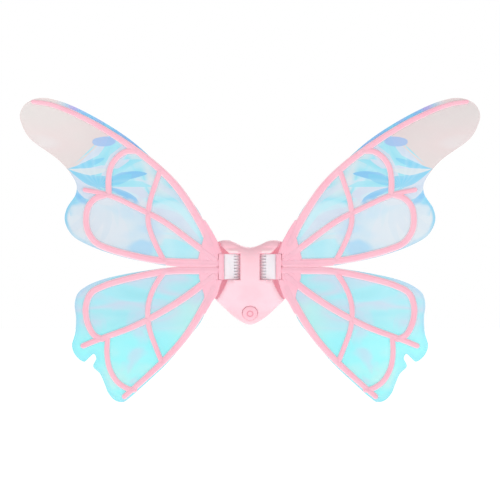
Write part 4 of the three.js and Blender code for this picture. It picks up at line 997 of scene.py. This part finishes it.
def film_sheet(side, sign, level):
    """A film panel: its smooth outline filled with triangles between even points 3 mm apart. It waves a
    little, as the sum of two slow sines, and carries the distance to its two long edges as marks."""
    lead, trail, root = films[level]
    steps, spacing, clearance, thickness = 8, 3, 1.2, 0.22
    whole = smooth_line(wing_point(lead + trail), steps)
    outline = np.vstack([whole, root])
    low_corner, high_corner = outline.min(0), outline.max(0)
    rows, columns = ((high_corner - low_corner) / spacing).astype(int)
    inside = np.stack(np.meshgrid(np.linspace(low_corner[0], high_corner[0], rows),
                                  np.linspace(low_corner[1], high_corner[1], columns)), -1).reshape(-1, 2)
    from_outline = nearest(inside, np.vstack([outline, outline[:1]]))
    inside = inside[within(inside, outline) & (from_outline > clearance)]
    flat = np.vstack([outline, inside])
    ring = list(range(len(outline)))
    made = delaunay_2d_cdt([Vector(p) for p in flat.tolist()], [], [ring], 1, 1e-5, False)
    flat, faces = np.array([tuple(p) for p in made[0]]), np.array(made[2])
    faces = faces[within(flat[faces].mean(1), outline)]
    first, second, third = (flat[faces[:, k]] for k in range(3))
    turn = np.cross(second - first, third - first)
    faces = np.where((turn * sign > 0)[:, None], faces, faces[:, ::-1])
    x, z = np.clip(flat, (0, cad_low.z / MM), (cad_high.x / MM, cad_high.z / MM)).T
    wave = 0.05 * np.sin(x / 17 + z / 23) + 0.035 * np.sin(x / 9.5 - z / 13 + 1.3)
    points = np.stack([x * sign, film_front + 0.09 + wave, z], 1)
    marks = {"from_leading": nearest(flat, whole[: len(lead) * steps]),
             "from_trailing": nearest(flat, whole[(len(lead) - 1) * steps:])}
    piece = mesh_piece(f"{level}_film_panel_{side}", points, faces,
                       upper_film if level == "upper" else lower_film, f"wing_{side}",
                       [f"{level}_film_{side}"], marks=marks)
    walled(piece, thickness)


def lip_studs(side, sign):
    """Four small round studs beside each socket's lip: turned buttons of radius 0.75."""
    turn = np.linspace(0, 2 * math.pi, 20, endpoint=False)[None, :]
    section = np.vstack([smooth_line([(0, -0.5), (0.45, -0.42), (0.7, -0.1), (0.75, 0.6)], 4), [(0, 0.6)]])
    r, out = section[:, :1], section[:, 1:]
    grids = []
    for x, z in ((38.9, 14.4), (39.2, 6.0), (39.2, -6.0), (38.9, -14.4)):
        grid = np.stack([x + r * np.cos(turn), -40.95 + out + 0 * turn, z + r * np.sin(turn)], -1)
        grids.append((grid, (False, True)))
    points, faces = join_grids(grids)
    mesh_piece(f"lip_studs_{side}", mirrored(points, sign), faces, lip_pink, f"wing_{side}", (),
               60)


# ---------- Make the pieces ----------
front_cover()
power_button()
refined("back_cover", "back_cover_shell", casing_pink, "casing", 0.5, 40)
refined("chassis", "chassis_plate", inner_pink_glow, "casing", 0.2, 40)
refined("battery_door", "battery_door_panel", casing_pink, "door", 0.3, 40)
for side, sign in SIDES:
    refined(f"arm_{side}", f"swing_arm_{side}", arm_white, f"arm_{side}", 0.22, 34)
    refined(f"wing_hub_{side}", f"wing_socket_{side}", lip_pink, f"wing_{side}", 0.35, 40)
    for level in ("upper", "lower"):
        wing_frame(side, sign, level)
        film_sheet(side, sign, level)
    lip_studs(side, sign)

refined("rack_slider", "double_rack", gear_white, "slider", 0.12, 40)
refined("crank_gear", "crank_wheel", gear_white, "crank", 0.08, 40)
refined("circuit_board", "switch_board", board_green, "casing", 0.08, 40)
for number in (1, 2, 3):
    refined(f"battery_{number}", f"aaa_cell_{number}", cell_wrap, "casing", 0.0, 50)

finishes = {"motor_gearbox": brass, "motor_pinion": brass, "switch_body": switch_black,
            "switch_plunger": switch_black}
shown_plain = [name for name, node in nodes.items() if not node.hide_render]
for name in shown_plain:
    data = nodes[name].data
    data.materials.clear()
    data.materials.append(finishes.get(name, steel))
